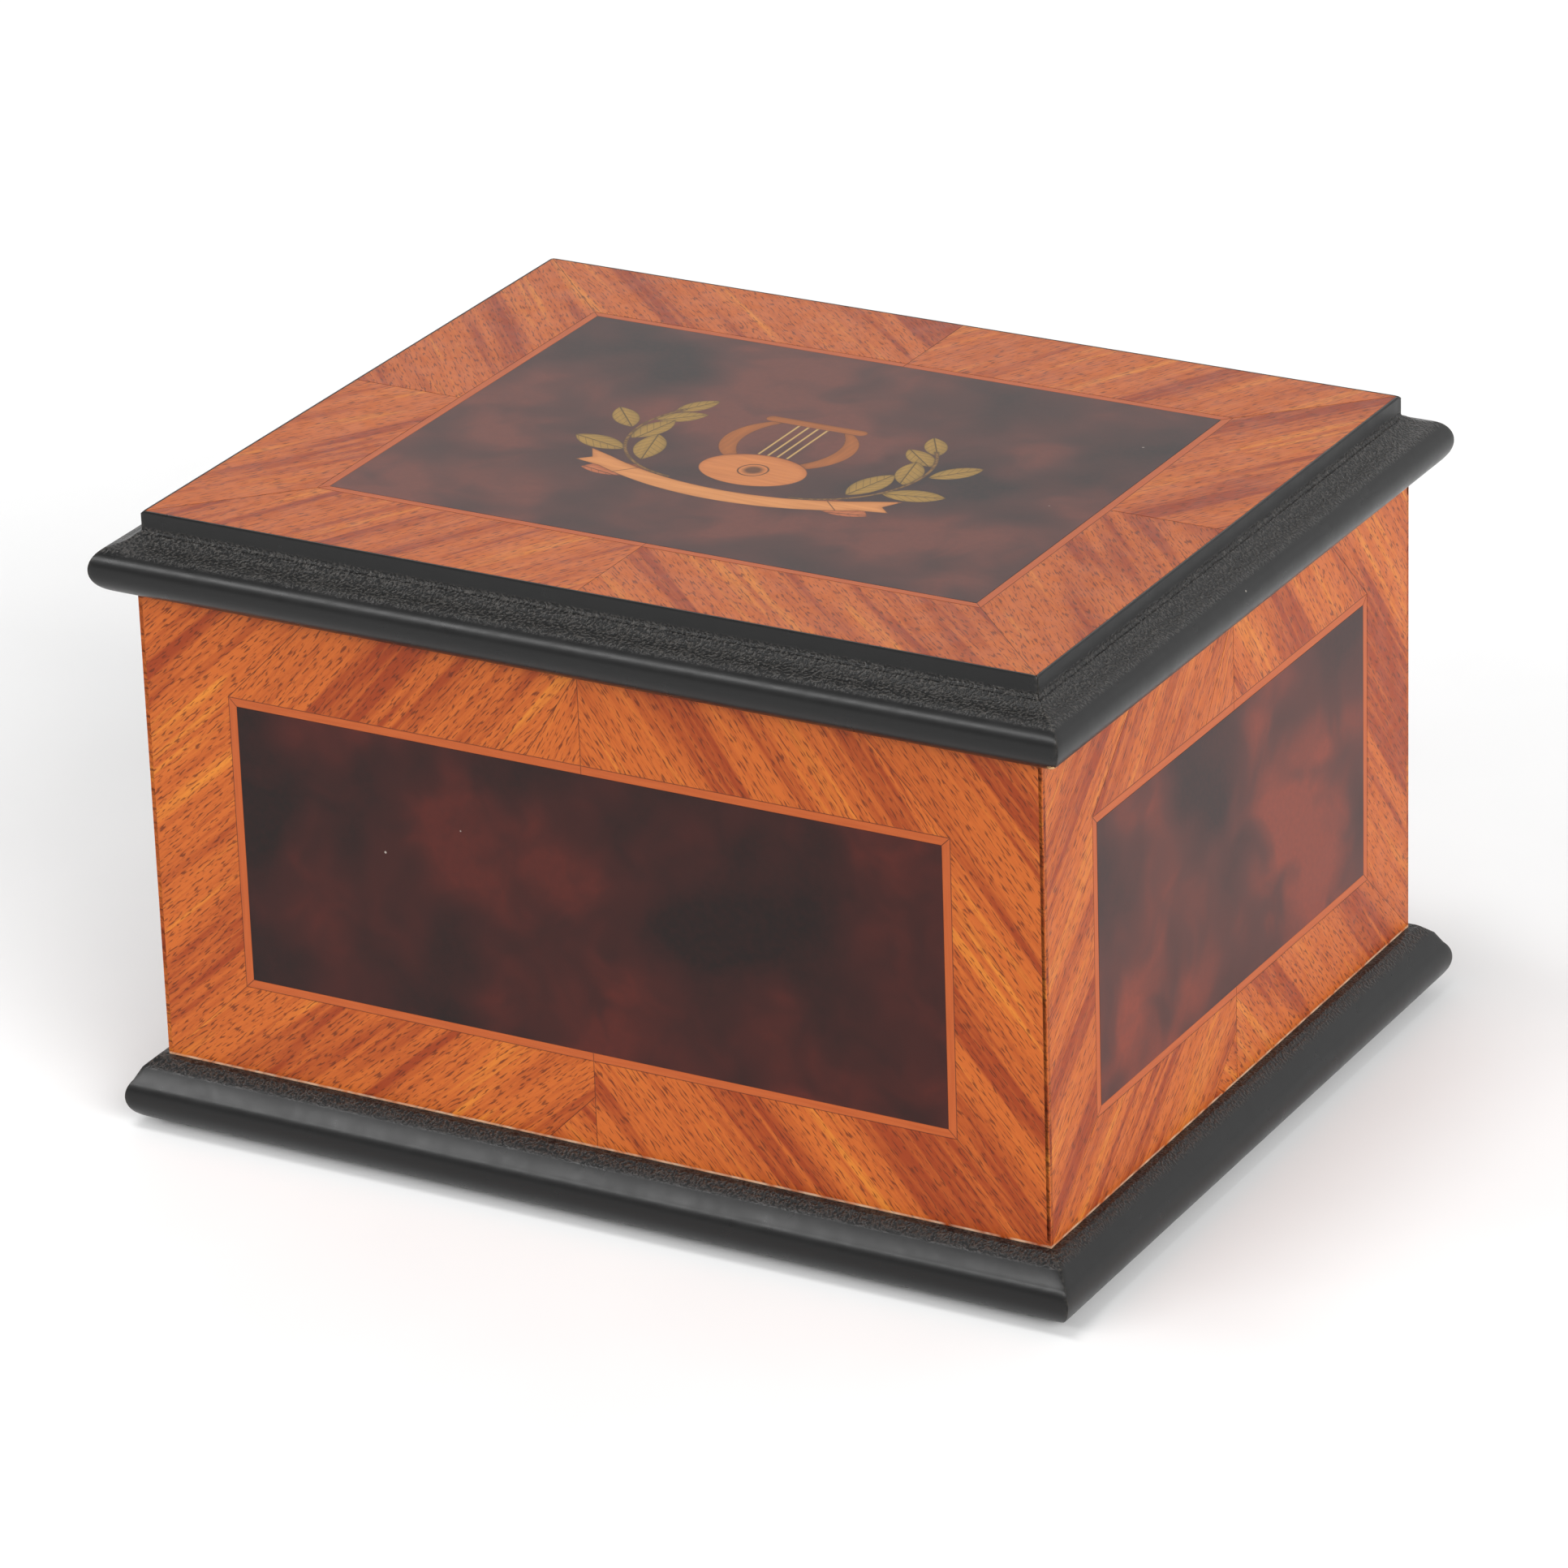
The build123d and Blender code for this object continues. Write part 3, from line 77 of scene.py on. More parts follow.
def rgba(colour):
    return (*colour[:3], 1.0)


def length_property(name, description, millimetres):
    return bpy.props.FloatProperty(
        name=name, description=description, default=millimetres * MM, unit="LENGTH"
    )


def angle_property(name, description, degrees):
    return bpy.props.FloatProperty(
        name=name, description=description, default=math.radians(degrees), subtype="ANGLE"
    )


def colour_property(name, description, code):
    return bpy.props.FloatVectorProperty(
        name=name, description=description, default=linear(code), subtype="COLOR", min=0, max=1
    )


class MusicBoxSizes(bpy.types.PropertyGroup):
    """Sizes of the mouldings, veneers and linings."""

    base_reach: length_property("Base reach", "How far the base's nose stands out", 4.5)
    base_nose: length_property("Base nose radius", "Radius of the base's nose", 3.6)
    base_ledge: length_property("Base ledge", "Flat ledge on top of the base", 1.2)
    base_shoulder: angle_property("Base shoulder", "Where the base's nose starts", 42)
    lid_reach: length_property("Lid reach", "How far the lid's nose stands out", 4.5)
    lid_nose: length_property("Lid nose radius", "Radius of the lid's nose", 3.35)
    lid_nose_end: angle_property("Lid nose end", "Where the lid's nose ends", 62)
    lid_fillet_inset: length_property("Fillet inset", "Upright fillet inside the wall", 0.8)
    lid_fillet_height: length_property("Fillet height", "Height of the upright fillet", 2.4)
    lid_cove: length_property("Cove", "Radius of the cove under the fillet", 0.5)
    lid_lip: length_property("Lip", "Black line round the lid's veneer", 0.4)
    stringing: length_property("Stringing", "Width of the stringing", 1.2)
    joint: length_property("Glue joint", "Half the width of a dark veneer joint", 0.1)
    edge: length_property("Eased edge", "Bevel on boards and metal pieces", 0.12)
    arris: bpy.props.FloatProperty(
        name="Mitre rounding",
        description="Share by which a moulding's section shrinks at its mitre",
        default=0.016,
    )


class MusicBoxColours(bpy.types.PropertyGroup):
    """Colours of the woods, lacquer, cloth and metal."""

    veneer_dark: colour_property("Veneer streak", "Dark streaks of the crossband", "#7E300E")
    veneer_mid: colour_property("Veneer", "Main colour of the crossband", "#A4521D")
    veneer_pale: colour_property("Veneer light", "Pale streaks of the crossband", "#B56B24")
    veneer_pore: colour_property("Veneer pore", "Pores of the crossband", "#4A1B08")
    burl_dark: colour_property("Burl", "Ground of the dark burl", "#150B0A")
    burl_red: colour_property("Burl cloud", "Red clouds of the front and back", "#421711")
    burl_bright: colour_property("Burl figure", "Red clouds of the sides", "#6A2A1A")
    burl_lid: colour_property("Lid burl", "Red clouds of the lid", "#582B21")
    string_wood: colour_property("Stringing", "Fine line round the panels", "#9C4C22")
    lacquer: colour_property("Lacquer", "Black mouldings", "#090909")
    board: colour_property("Board", "Plain wood inside", "#A67C52")
    velvet: colour_property("Velvet", "Lining of the compartment", "#5E0F1C")
    felt: colour_property("Felt", "Feet", "#22382A")
    brass: colour_property("Brass", "Hinges and wheels", "#C89B4B")
    steel: colour_property("Steel", "Comb and screws", "#A9A9AC")
    zinc: colour_property("Zinc", "Bedplate and barrel", "#9A9A98")


def sizes():
    return bpy.context.scene.music_box_sizes


def colours():
    return bpy.context.scene.music_box_colours


# Node trees


def add(tree, kind, inputs=None, stops=None, **settings):
    """Adds one node, with its settings, its values and its links."""
    made = tree.nodes.new(kind)
    for name, value in settings.items():
        setattr(made, name, value)
    for socket, value in (inputs or {}).items():
        if isinstance(value, bpy.types.NodeSocket):
            tree.links.new(value, made.inputs[socket])
        else:
            made.inputs[socket].default_value = value
    if stops:
        elements = made.color_ramp.elements
        while len(elements) < len(stops):
            elements.new(0.5)
        for element, (place, colour) in zip(elements, stops):
            element.position = place
            element.color = rgba(colour)
    return made


def new_material(name):
    """An empty material and its shader."""
    material = bpy.data.materials.new(name)
    material.use_nodes = True
    tree = material.node_tree
    shader = tree.nodes["Principled BSDF"]
    return material, tree, shader


def set_shader(tree, shader, values):
    for socket, value in values.items():
        if isinstance(value, bpy.types.NodeSocket):
            tree.links.new(value, shader.inputs[socket])
        else:
            shader.inputs[socket].default_value = value


def millimetres(tree, source, scale=(1, 1, 1), turn=(0, 0, 0)):
    """Coordinates in millimetres, stretched by scale, so that 1 is one grain."""
    factors = tuple(1000 * s for s in scale)
    turned = add(tree, "ShaderNodeMapping", {"Vector": source, "Rotation": turn})
    return add(
        tree, "ShaderNodeVectorMath", {0: turned.outputs[0], 1: factors}, operation="MULTIPLY"
    ).outputs[0]


def grain_uv(tree):
    return add(tree, "ShaderNodeUVMap", uv_map="grain").outputs[0]


def object_place(tree):
    return add(tree, "ShaderNodeTexCoord").outputs["Object"]


def speckle(tree, place, scale, low, high, detail=2.0, distortion=0.0):
    """Noise between 0 and 1, with its contrast raised between low and high."""
    cloud = add(
        tree,
        "ShaderNodeTexNoise",
        {"Vector": place, "Scale": scale, "Detail": detail, "Distortion": distortion},
    )
    return add(
        tree,
        "ShaderNodeMapRange",
        {"Value": cloud.outputs[0], "From Min": low, "From Max": high},
    ).outputs[0]


def blend_colour(tree, share, first, second, mode="MIX"):
    mixed = add(
        tree, "ShaderNodeMix", {0: share, 6: first, 7: second}, data_type="RGBA", blend_type=mode
    )
    return mixed.outputs[2]


def arithmetic(tree, operation, first, second):
    return add(tree, "ShaderNodeMath", {0: first, 1: second}, operation=operation).outputs[0]


def veneer_colour(tree, place, dark, mid, pale, pore):
    """Streaked wood with short dark pores. Place runs along the grain in u."""
    # Growth bands about 6 mm wide and 70 mm long, and streaks about 1 mm wide within them
    bands = speckle(tree, millimetres(tree, place, (0.014, 0.15, 0.15)), 1.0, 0.36, 0.62, 3.0, 0.5)
    streaks = speckle(tree, millimetres(tree, place, (0.03, 0.95, 0.95)), 1.0, 0.3, 0.7, 3.0, 0.3)
    figure = arithmetic(
        tree, "ADD", arithmetic(tree, "MULTIPLY", bands, 0.6), arithmetic(tree, "MULTIPLY", streaks, 0.4)
    )
    ramp = add(
        tree,
        "ShaderNodeValToRGB",
        {0: figure},
        stops=[(0.18, dark), (0.5, mid), (0.7, mid), (0.95, pale)],
    )
    # Dark fibres about 0.5 mm wide and 20 mm long
    fibres = speckle(tree, millimetres(tree, place, (0.05, 1.9, 1.9)), 1.0, 0.46, 0.74, 2.0, 0.2)
    fibre_share = arithmetic(tree, "MULTIPLY", fibres, 0.6)
    toned = blend_colour(tree, fibre_share, ramp.outputs[0], rgba(dark))
    # Pores 1 to 2 mm long and drawn 0.2 mm wide, which is as fine as a render shows
    dashes = speckle(tree, millimetres(tree, place, (0.6, 3.9, 3.9)), 1.0, 0.55, 0.66, 1.0)
    pore_share = arithmetic(tree, "MULTIPLY", dashes, 0.75)
    pored = blend_colour(tree, pore_share, toned, rgba(pore))
    return pored, dashes


def crossband_veneer():
    """Orange-brown veneer, sliced, laid crosswise and satin lacquered: streaks and open pores."""
    c = colours()
    material, tree, shader = new_material("crossband_veneer")
    place = grain_uv(tree)
    colour, dashes = veneer_colour(
        tree, place, c.veneer_dark, c.veneer_mid, c.veneer_pale, c.veneer_pore
    )
    seam = add(tree, "ShaderNodeAttribute", attribute_name="seam").outputs["Fac"]
    joint = arithmetic(tree, "MULTIPLY", seam, 0.85)
    joined = blend_colour(tree, joint, colour, rgba(linear("#3A1609")))
    # Pale dust where the walls stand on the base, about 0.3 mm high
    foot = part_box("base_moulding_front")[1].z
    line = height_band(tree, object_place(tree), foot, foot + 0.25 * MM, 0.15 * MM)
    broken = speckle(tree, millimetres(tree, object_place(tree)), 0.4, 0.3, 0.6)
    dusty_share = arithmetic(tree, "MULTIPLY", arithmetic(tree, "MULTIPLY", line, broken), 0.7)
    joined = blend_colour(tree, dusty_share, joined, rgba(linear("#BFA58C")))
    hollow = arithmetic(tree, "SUBTRACT", 1.0, dashes)
    bump = add(
        tree, "ShaderNodeBump", {"Strength": 0.18, "Distance": 0.00004, "Height": hollow}
    )
    gloss = speckle(tree, millimetres(tree, object_place(tree)), 0.35, 0.3, 0.7)
    rough = add(
        tree, "ShaderNodeMapRange", {"Value": gloss, "To Min": 0.33, "To Max": 0.43}
    ).outputs[0]
    set_shader(
        tree,
        shader,
        {
            "Base Color": joined,
            "Roughness": rough,
            "Normal": bump.outputs[0],
            "IOR": 1.3,
        },
    )
    return material


def dust(tree, place, base):
    """Sparse pale specks of dust, about 0.3 mm across, over a colour."""
    cells = add(tree, "ShaderNodeTexVoronoi", {"Vector": millimetres(tree, place), "Scale": 0.11})
    speck = add(
        tree,
        "ShaderNodeMapRange",
        {"Value": cells.outputs["Distance"], "From Min": 0.022, "From Max": 0.014},
    ).outputs[0]
    chance = add(tree, "ShaderNodeSeparateColor", {0: cells.outputs["Color"]}).outputs[0]
    present = arithmetic(tree, "GREATER_THAN", chance, 0.45)
    share = arithmetic(tree, "MULTIPLY", arithmetic(tree, "MULTIPLY", speck, present), 0.5)
    return blend_colour(tree, share, base, rgba(linear("#B5ADA4")))


def dark_burl_veneer(name, ground, cloud, red, grain, shift):
    """Dark burl veneer, satin lacquered: soft red clouds deep in a near-black ground.

    grain is how many clouds there are in a millimetre, and shift picks the part of the leaf."""
    material, tree, shader = new_material(name)
    shifted = add(
        tree, "ShaderNodeVectorMath", {0: object_place(tree), 1: shift}, operation="ADD"
    ).outputs[0]
    place = millimetres(tree, shifted)
    # Clouds about 20 mm across, eyes about 7 mm across and a fine mottle
    clouds = speckle(tree, place, grain, 0.34, 0.66, 2.0, 0.3)
    eyes = speckle(tree, place, 3 * grain, 0.3, 0.8, 2.0, 0.6)
    figure = arithmetic(tree, "MULTIPLY", clouds, arithmetic(tree, "ADD", 0.5, eyes))
    ramp = add(
        tree,
        "ShaderNodeValToRGB",
        {0: figure},
        stops=[(0.0, ground), (0.45, cloud), (0.95, red)],
    )
    mottle = speckle(tree, place, 1.3, 0.35, 0.7, 3.0)
    toned = blend_colour(
        tree, arithmetic(tree, "MULTIPLY", mottle, 0.25), ramp.outputs[0], rgba(cloud)
    )
    dusty = dust(tree, object_place(tree), toned)
    set_shader(tree, shader, {"Base Color": dusty, "Roughness": 0.34, "IOR": 1.3})
    return material


def stringing_veneer():
    """A thin line of reddish wood between dark glue joints, satin lacquered."""
    c = colours()
    material, tree, shader = new_material("stringing_veneer")
    place = grain_uv(tree)
    fibres = speckle(tree, millimetres(tree, place, (0.15, 2.5, 2.5)), 1.0, 0.3, 0.75)
    wood = blend_colour(
        tree, arithmetic(tree, "MULTIPLY", fibres, 0.35), rgba(c.string_wood), rgba(c.veneer_dark)
    )
    seam = add(tree, "ShaderNodeAttribute", attribute_name="seam").outputs["Fac"]
    joined = blend_colour(
        tree, arithmetic(tree, "MULTIPLY", seam, 0.8), wood, rgba(linear("#2A120B"))
    )
    set_shader(
        tree, shader, {"Base Color": joined, "Roughness": 0.38, "IOR": 1.3}
    )
    return material


def height_band(tree, place, low, high, soft):
    """1 between two heights of the frame, and 0 above and below, with soft ends."""
    height = add(tree, "ShaderNodeSeparateXYZ", {0: place}).outputs[2]
    rising = add(
        tree, "ShaderNodeMapRange", {"Value": height, "From Min": low - soft, "From Max": low}
    ).outputs[0]
    falling = add(
        tree, "ShaderNodeMapRange", {"Value": height, "From Min": high + soft, "From Max": high}
    ).outputs[0]
    return arithmetic(tree, "MULTIPLY", rising, falling)


def black_lacquer():
    """Satin black lacquer brushed over profiled wood.

    It is smooth on the noses and grainy on the shoulders, where pale grey specks are a painted
    highlight of glints. It is brown with dust on the base's ledge, rubbed along the mitres with
    pale grey that is both wear and painted glints, and chipped at one corner of the lid."""
    c = colours()
    material, tree, shader = new_material("black_lacquer")
    place = object_place(tree)
    scaled = millimetres(tree, place)
    peel = speckle(tree, scaled, 0.35, 0.3, 0.7, 2.0)
    grit = speckle(tree, scaled, 2.6, 0.42, 0.72, 2.0)
    lid_low, lid_high = (v.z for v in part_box("lid_moulding_front"))
    base_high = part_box("base_moulding_front")[1].z
    nose_top = lid_low + 1.85 * sizes().lid_nose
    shoulder = height_band(
        tree, place, nose_top, lid_high - sizes().lid_fillet_height, 0.5 * MM
    )
    ledge = height_band(tree, place, base_high - 0.7 * MM, base_high, 0.7 * MM)
    grainy = arithmetic(tree, "MULTIPLY", grit, arithmetic(tree, "ADD", shoulder, ledge))
    height = arithmetic(tree, "ADD", arithmetic(tree, "MULTIPLY", peel, 0.1), grainy)
    bump = add(tree, "ShaderNodeBump", {"Strength": 0.8, "Distance": 0.00012, "Height": height})
    rough = add(
        tree,
        "ShaderNodeMapRange",
        {"Value": arithmetic(tree, "ADD", peel, grainy), "To Min": 0.27, "To Max": 0.34},
    ).outputs[0]
    # A chip of bare wood under the front right corner of the lid, about 1 mm across
    low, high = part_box("lid_moulding_front")
    corner = Vector((high.x - 1.3 * MM, low.y + 0.9 * MM, low.z + 0.5 * MM))
    away = add(
        tree, "ShaderNodeVectorMath", {0: place, 1: corner}, operation="DISTANCE"
    ).outputs["Value"]
    ragged = arithmetic(tree, "ADD", away, arithmetic(tree, "MULTIPLY", grit, 0.0006))
    near = add(
        tree, "ShaderNodeMapRange", {"Value": ragged, "From Min": 0.0011, "From Max": 0.0008}
    ).outputs[0]
    # Pale grey along the mitres: rubbed wear, and also painted glints of light at the corners
    mitre_wear_and_glint_mask = add(tree, "ShaderNodeAttribute", attribute_name="mitre").outputs["Fac"]
    mitre_wear_and_glints = arithmetic(tree, "MULTIPLY", arithmetic(tree, "MULTIPLY", mitre_wear_and_glint_mask, grit), 0.25)
    # Pale grey specks painted on the shoulders: a painted highlight, the glints of light on the grainy
    # lacquer
    painted_shoulder_glints = blend_colour(
        tree,
        arithmetic(tree, "MULTIPLY", shoulder, arithmetic(tree, "MULTIPLY", grit, 0.4)),
        rgba(c.lacquer),
        rgba(linear("#57534F")),
    )
    dusted = blend_colour(
        tree,
        arithmetic(tree, "MULTIPLY", ledge, arithmetic(tree, "MULTIPLY", grit, 0.4)),
        painted_shoulder_glints,
        rgba(linear("#4A3426")),
    )
    worn_and_glinting = blend_colour(tree, mitre_wear_and_glints, dusted, rgba(linear("#6E675E")))
    chipped = blend_colour(tree, near, dust(tree, place, worn_and_glinting), rgba(linear("#C9A878")))
    set_shader(
        tree,
        shader,
        {
            "Base Color": chipped,
            "Roughness": rough,
            "Normal": bump.outputs[0],
            "IOR": 1.4,
        },
    )
    return material


def plain_board(name, pale, dark, axis_scale):
    """Sawn and oiled board: straight grain along one axis."""
    material, tree, shader = new_material(name)
    place = object_place(tree)
    bands = speckle(tree, millimetres(tree, place, axis_scale), 0.45, 0.3, 0.7, 4.0, 0.5)
    fibres = speckle(tree, millimetres(tree, place, axis_scale), 3.0, 0.3, 0.8, 2.0)
    wood = blend_colour(tree, bands, rgba(pale), rgba(dark))
    wood = blend_colour(tree, arithmetic(tree, "MULTIPLY", fibres, 0.3), wood, rgba(dark))
    bump = add(
        tree, "ShaderNodeBump", {"Strength": 0.2, "Distance": 0.00005, "Height": fibres}
    )
    set_shader(
        tree,
        shader,
        {"Base Color": wood, "Roughness": 0.55, "Normal": bump.outputs[0], "IOR": 1.5},
    )
    return material


def thin_line(tree, distance, half_width):
    """1 where a distance in metres is under half a line's width, with a soft edge."""
    return add(
        tree,
        "ShaderNodeMapRange",
        {"Value": distance, "From Min": 1.3 * half_width, "From Max": 0.7 * half_width},
    ).outputs[0]


def leaf_veins(tree, u, v):
    """A midrib along the leaf and slanting ribs 1.3 mm apart."""
    aside = arithmetic(tree, "ABSOLUTE", v, 0.0)
    midrib = thin_line(tree, aside, 0.1 * MM)
    slanted = arithmetic(tree, "SUBTRACT", u, arithmetic(tree, "MULTIPLY", aside, 1.1))
    to_rib = arithmetic(tree, "PINGPONG", slanted, 0.65 * MM)
    rib = arithmetic(tree, "MULTIPLY", thin_line(tree, to_rib, 0.08 * MM), 0.6)
    return arithmetic(tree, "MAXIMUM", midrib, rib)


def sound_hole(tree, u, v):
    """A dark round hole with one ring about it."""
    across = arithmetic(tree, "POWER", u, 2.0)
    along = arithmetic(tree, "POWER", v, 2.0)
    radius = arithmetic(tree, "SQRT", arithmetic(tree, "ADD", across, along), 0.0)
    hole = thin_line(tree, radius, 1.3 * MM)
    from_ring = arithmetic(tree, "ABSOLUTE", arithmetic(tree, "SUBTRACT", radius, 2 * MM), 0.0)
    return arithmetic(tree, "MAXIMUM", hole, thin_line(tree, from_ring, 0.12 * MM))


def ribbon_folds(tree, u, v):
    """Two slanting folds, each near one end of the ribbon."""
    run = arithmetic(tree, "ADD", arithmetic(tree, "ABSOLUTE", u, 0.0), v)
    return thin_line(
        tree, arithmetic(tree, "ABSOLUTE", arithmetic(tree, "SUBTRACT", run, 16 * MM), 0.0), 0.12 * MM
    )


def marquetry_wood(name, pale, dark, line, cuts=None):
    """Knife-cut marquetry veneer, shaded at its edges in hot sand, satin lacquered.

    cuts draws the lines that are cut into the piece, from its own u and v in metres."""
    material, tree, shader = new_material(name)
    place = grain_uv(tree)
    fibres = speckle(tree, millimetres(tree, place, (0.12, 1.8, 1.8)), 1.0, 0.3, 0.75, 3.0, 0.3)
    wood = blend_colour(tree, arithmetic(tree, "MULTIPLY", fibres, 0.5), rgba(pale), rgba(dark))
    shade = add(tree, "ShaderNodeAttribute", attribute_name="shade").outputs["Fac"]
    scorched = blend_colour(tree, arithmetic(tree, "MULTIPLY", shade, 0.75), wood, rgba(dark))
    edge = add(tree, "ShaderNodeAttribute", attribute_name="edge").outputs["Fac"]
    drawn = arithmetic(tree, "MULTIPLY", thin_line(tree, edge, 0.09 * MM), 0.7)
    if cuts:
        split = add(tree, "ShaderNodeSeparateXYZ", {0: place})
        drawn = arithmetic(tree, "MAXIMUM", drawn, cuts(tree, split.outputs[0], split.outputs[1]))
    engraved = blend_colour(tree, arithmetic(tree, "MULTIPLY", drawn, 0.8), scorched, rgba(line))
    set_shader(tree, shader, {"Base Color": engraved, "Roughness": 0.38, "IOR": 1.3})
    return material


def velvet_cloth():
    """Short-pile velvet: dark when seen into the pile, pale at a glancing angle."""
    material, tree, shader = new_material("cotton_velvet")
    place = object_place(tree)
    pile = speckle(tree, millimetres(tree, place), 2.6, 0.3, 0.75, 3.0)
    brushed = speckle(tree, millimetres(tree, place), 0.05, 0.2, 0.8, 1.0)
    tone = arithmetic(tree, "ADD", arithmetic(tree, "MULTIPLY", pile, 0.8), brushed)
    deep = tuple(x * 0.35 for x in colours().velvet)
    cloth = blend_colour(
        tree, arithmetic(tree, "MULTIPLY", tone, 0.55), rgba(deep), rgba(colours().velvet)
    )
    bump = add(tree, "ShaderNodeBump", {"Strength": 0.5, "Distance": 0.0002, "Height": pile})
    set_shader(
        tree,
        shader,
        {
            "Base Color": cloth,
            "Roughness": 0.95,
            "Normal": bump.outputs[0],
            "Sheen Weight": 0.4,
            "Sheen Roughness": 0.35,
            "Sheen Tint": rgba(linear("#C06A72")),
        },
    )
    return material


def pressed_felt():
    """Pressed wool felt: matte, with short tangled fibres."""
    material, tree, shader = new_material("pressed_felt")
    fibres = speckle(tree, millimetres(tree, object_place(tree)), 3.5, 0.3, 0.7, 4.0, 1.0)
    wool = blend_colour(
        tree, fibres, rgba(tuple(x * 0.5 for x in colours().felt)), rgba(colours().felt)
    )
    bump = add(tree, "ShaderNodeBump", {"Strength": 0.6, "Distance": 0.0002, "Height": fibres})
    set_shader(
        tree, shader, {"Base Color": wool, "Roughness": 1.0, "Normal": bump.outputs[0]}
    )
    return material


def metal(name, colour, low, high, scale, stretch=(1, 1, 1), depth=0.00002):
    """Bare metal: its roughness and height vary with the marks of how it was made."""
    material, tree, shader = new_material(name)
    marks = speckle(tree, millimetres(tree, object_place(tree), stretch), scale, 0.3, 0.7, 3.0)
    rough = add(
        tree, "ShaderNodeMapRange", {"Value": marks, "To Min": low, "To Max": high}
    ).outputs[0]
    darker = tuple(x * 0.72 for x in colour)
    tarnish = speckle(tree, millimetres(tree, object_place(tree)), 0.25, 0.4, 0.8, 3.0)
    tone = blend_colour(tree, arithmetic(tree, "MULTIPLY", tarnish, 0.6), rgba(colour), rgba(darker))
    bump = add(tree, "ShaderNodeBump", {"Strength": 0.15, "Distance": depth, "Height": marks})
    set_shader(
        tree,
        shader,
        {"Base Color": tone, "Metallic": 1.0, "Roughness": rough, "Normal": bump.outputs[0]},
    )
    return material


def clear_acrylic():
    """Clear cast acrylic sheet: nearly all see-through, with faint scratches from wiping."""
    material, tree, shader = new_material("clear_acrylic")
    marks = speckle(
        tree, millimetres(tree, object_place(tree), (0.05, 1.2, 1)), 2.0, 0.62, 0.7, 2.0
    )
    rough = add(
        tree, "ShaderNodeMapRange", {"Value": marks, "To Min": 0.04, "To Max": 0.16}
    ).outputs[0]
    set_shader(
        tree,
        shader,
        {
            "Base Color": rgba(linear("#1A1F1F")),
            "Roughness": rough,
            "IOR": 1.49,
            "Alpha": 0.12,
            "Coat Weight": 1.0,
        },
    )
    return material


def make_materials():
    """Every finish, by the name that the operators use."""
    c = colours()
    dark_board = tuple(x * 0.62 for x in c.board)
    return {
        "crossband": crossband_veneer(),
        "burl_dark": dark_burl_veneer(
            "dark_burl_veneer", c.burl_dark, linear("#2E110E"), c.burl_red, 0.045, (0.3, 0.0, 0.2)
        ),
        "burl_red": dark_burl_veneer(
            "red_burl_veneer", linear("#1F0F0E"), linear("#421D17"), c.burl_bright, 0.032, (0.1, 0.7, 0.5)
        ),
        "burl_lid": dark_burl_veneer(
            "lid_burl_veneer", linear("#1A0F0E"), linear("#3E1F1A"), c.burl_lid, 0.04, (0.9, 0.2, 0.1)
        ),
        "stringing": stringing_veneer(),
        "lacquer": black_lacquer(),
        "board_x": plain_board("oiled_board_along_x", c.board, dark_board, (0.05, 1, 1)),
        "board_y": plain_board("oiled_board_along_y", c.board, dark_board, (1, 0.05, 1)),
        "leaf": marquetry_wood(
            "marquetry_green_holly", linear("#8E6E30"), linear("#5F4A22"), linear("#2C1C0E"), leaf_veins
        ),
        "leaf_red": marquetry_wood(
            "marquetry_pear", linear("#A9623A"), linear("#733419"), linear("#35170A"), leaf_veins
        ),
        "bowl": marquetry_wood(
            "marquetry_cherry", linear("#B06C38"), linear("#83441D"), linear("#23120B"), sound_hole
        ),
        "horn": marquetry_wood(
            "marquetry_maple", linear("#8F511F"), linear("#66340F"), linear("#2C150A")
        ),
        "ribbon": marquetry_wood(
            "marquetry_boxwood", linear("#B87B46"), linear("#8A4F22"), linear("#3A2010"), ribbon_folds
        ),
        "stem": marquetry_wood(
            "marquetry_walnut", linear("#7C5A2C"), linear("#553A1C"), linear("#2C1C0E")
        ),
        "string": marquetry_wood(
            "marquetry_sycamore", linear("#BC9A62"), linear("#8C6A38"), linear("#3A2414")
        ),
        "velvet": velvet_cloth(),
        "felt": pressed_felt(),
        "brass": metal("stamped_brass", c.brass, 0.28, 0.38, 2.4),
        "turned_brass": metal("turned_brass", c.brass, 0.2, 0.36, 2.0, (1, 3, 1)),
        "steel": metal("bright_steel", c.steel, 0.22, 0.34, 2.4),
        "comb_steel": metal("ground_steel", linear("#B9BABD"), 0.2, 0.34, 2.2, (0.1, 1, 1)),
        "zinc": metal("cast_zinc", c.zinc, 0.4, 0.6, 1.2, (1, 1, 1), 0.00008),
        "acrylic": clear_acrylic(),
    }


FINISHES = {}


# Meshes and pieces


def finish_piece(name, mesh, body, material, replaced=()):
    """Puts a finished mesh in the scene as a piece that rides on its body."""
    piece = bpy.data.objects.new(name, mesh)
    bpy.context.scene.collection.objects.link(piece)
    mesh.materials.clear()
    mesh.materials.append(material)
    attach(piece, body)
    if replaced:
        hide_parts(*replaced)
    return piece


def plain_mesh(source):
    """The evaluated mesh of an object, after which the object is removed."""
    bpy.context.view_layer.update()
    graph = bpy.context.evaluated_depsgraph_get()
    mesh = bpy.data.meshes.new_from_object(source.evaluated_get(graph))
    bpy.data.objects.remove(source)
    return mesh


def shade_by_angle(mesh, degrees):
    """Smooth shading with creases where faces meet at more than the angle."""
    bm = bmesh.new()
    bm.from_mesh(mesh)
    bm.normal_update()
    limit = math.radians(degrees)
    for edge in bm.edges:
        sharp = len(edge.link_faces) == 2 and edge.calc_face_angle(0) > limit
        edge.smooth = not sharp
    for face in bm.faces:
        face.smooth = True
    bm.to_mesh(mesh)
    bm.free()


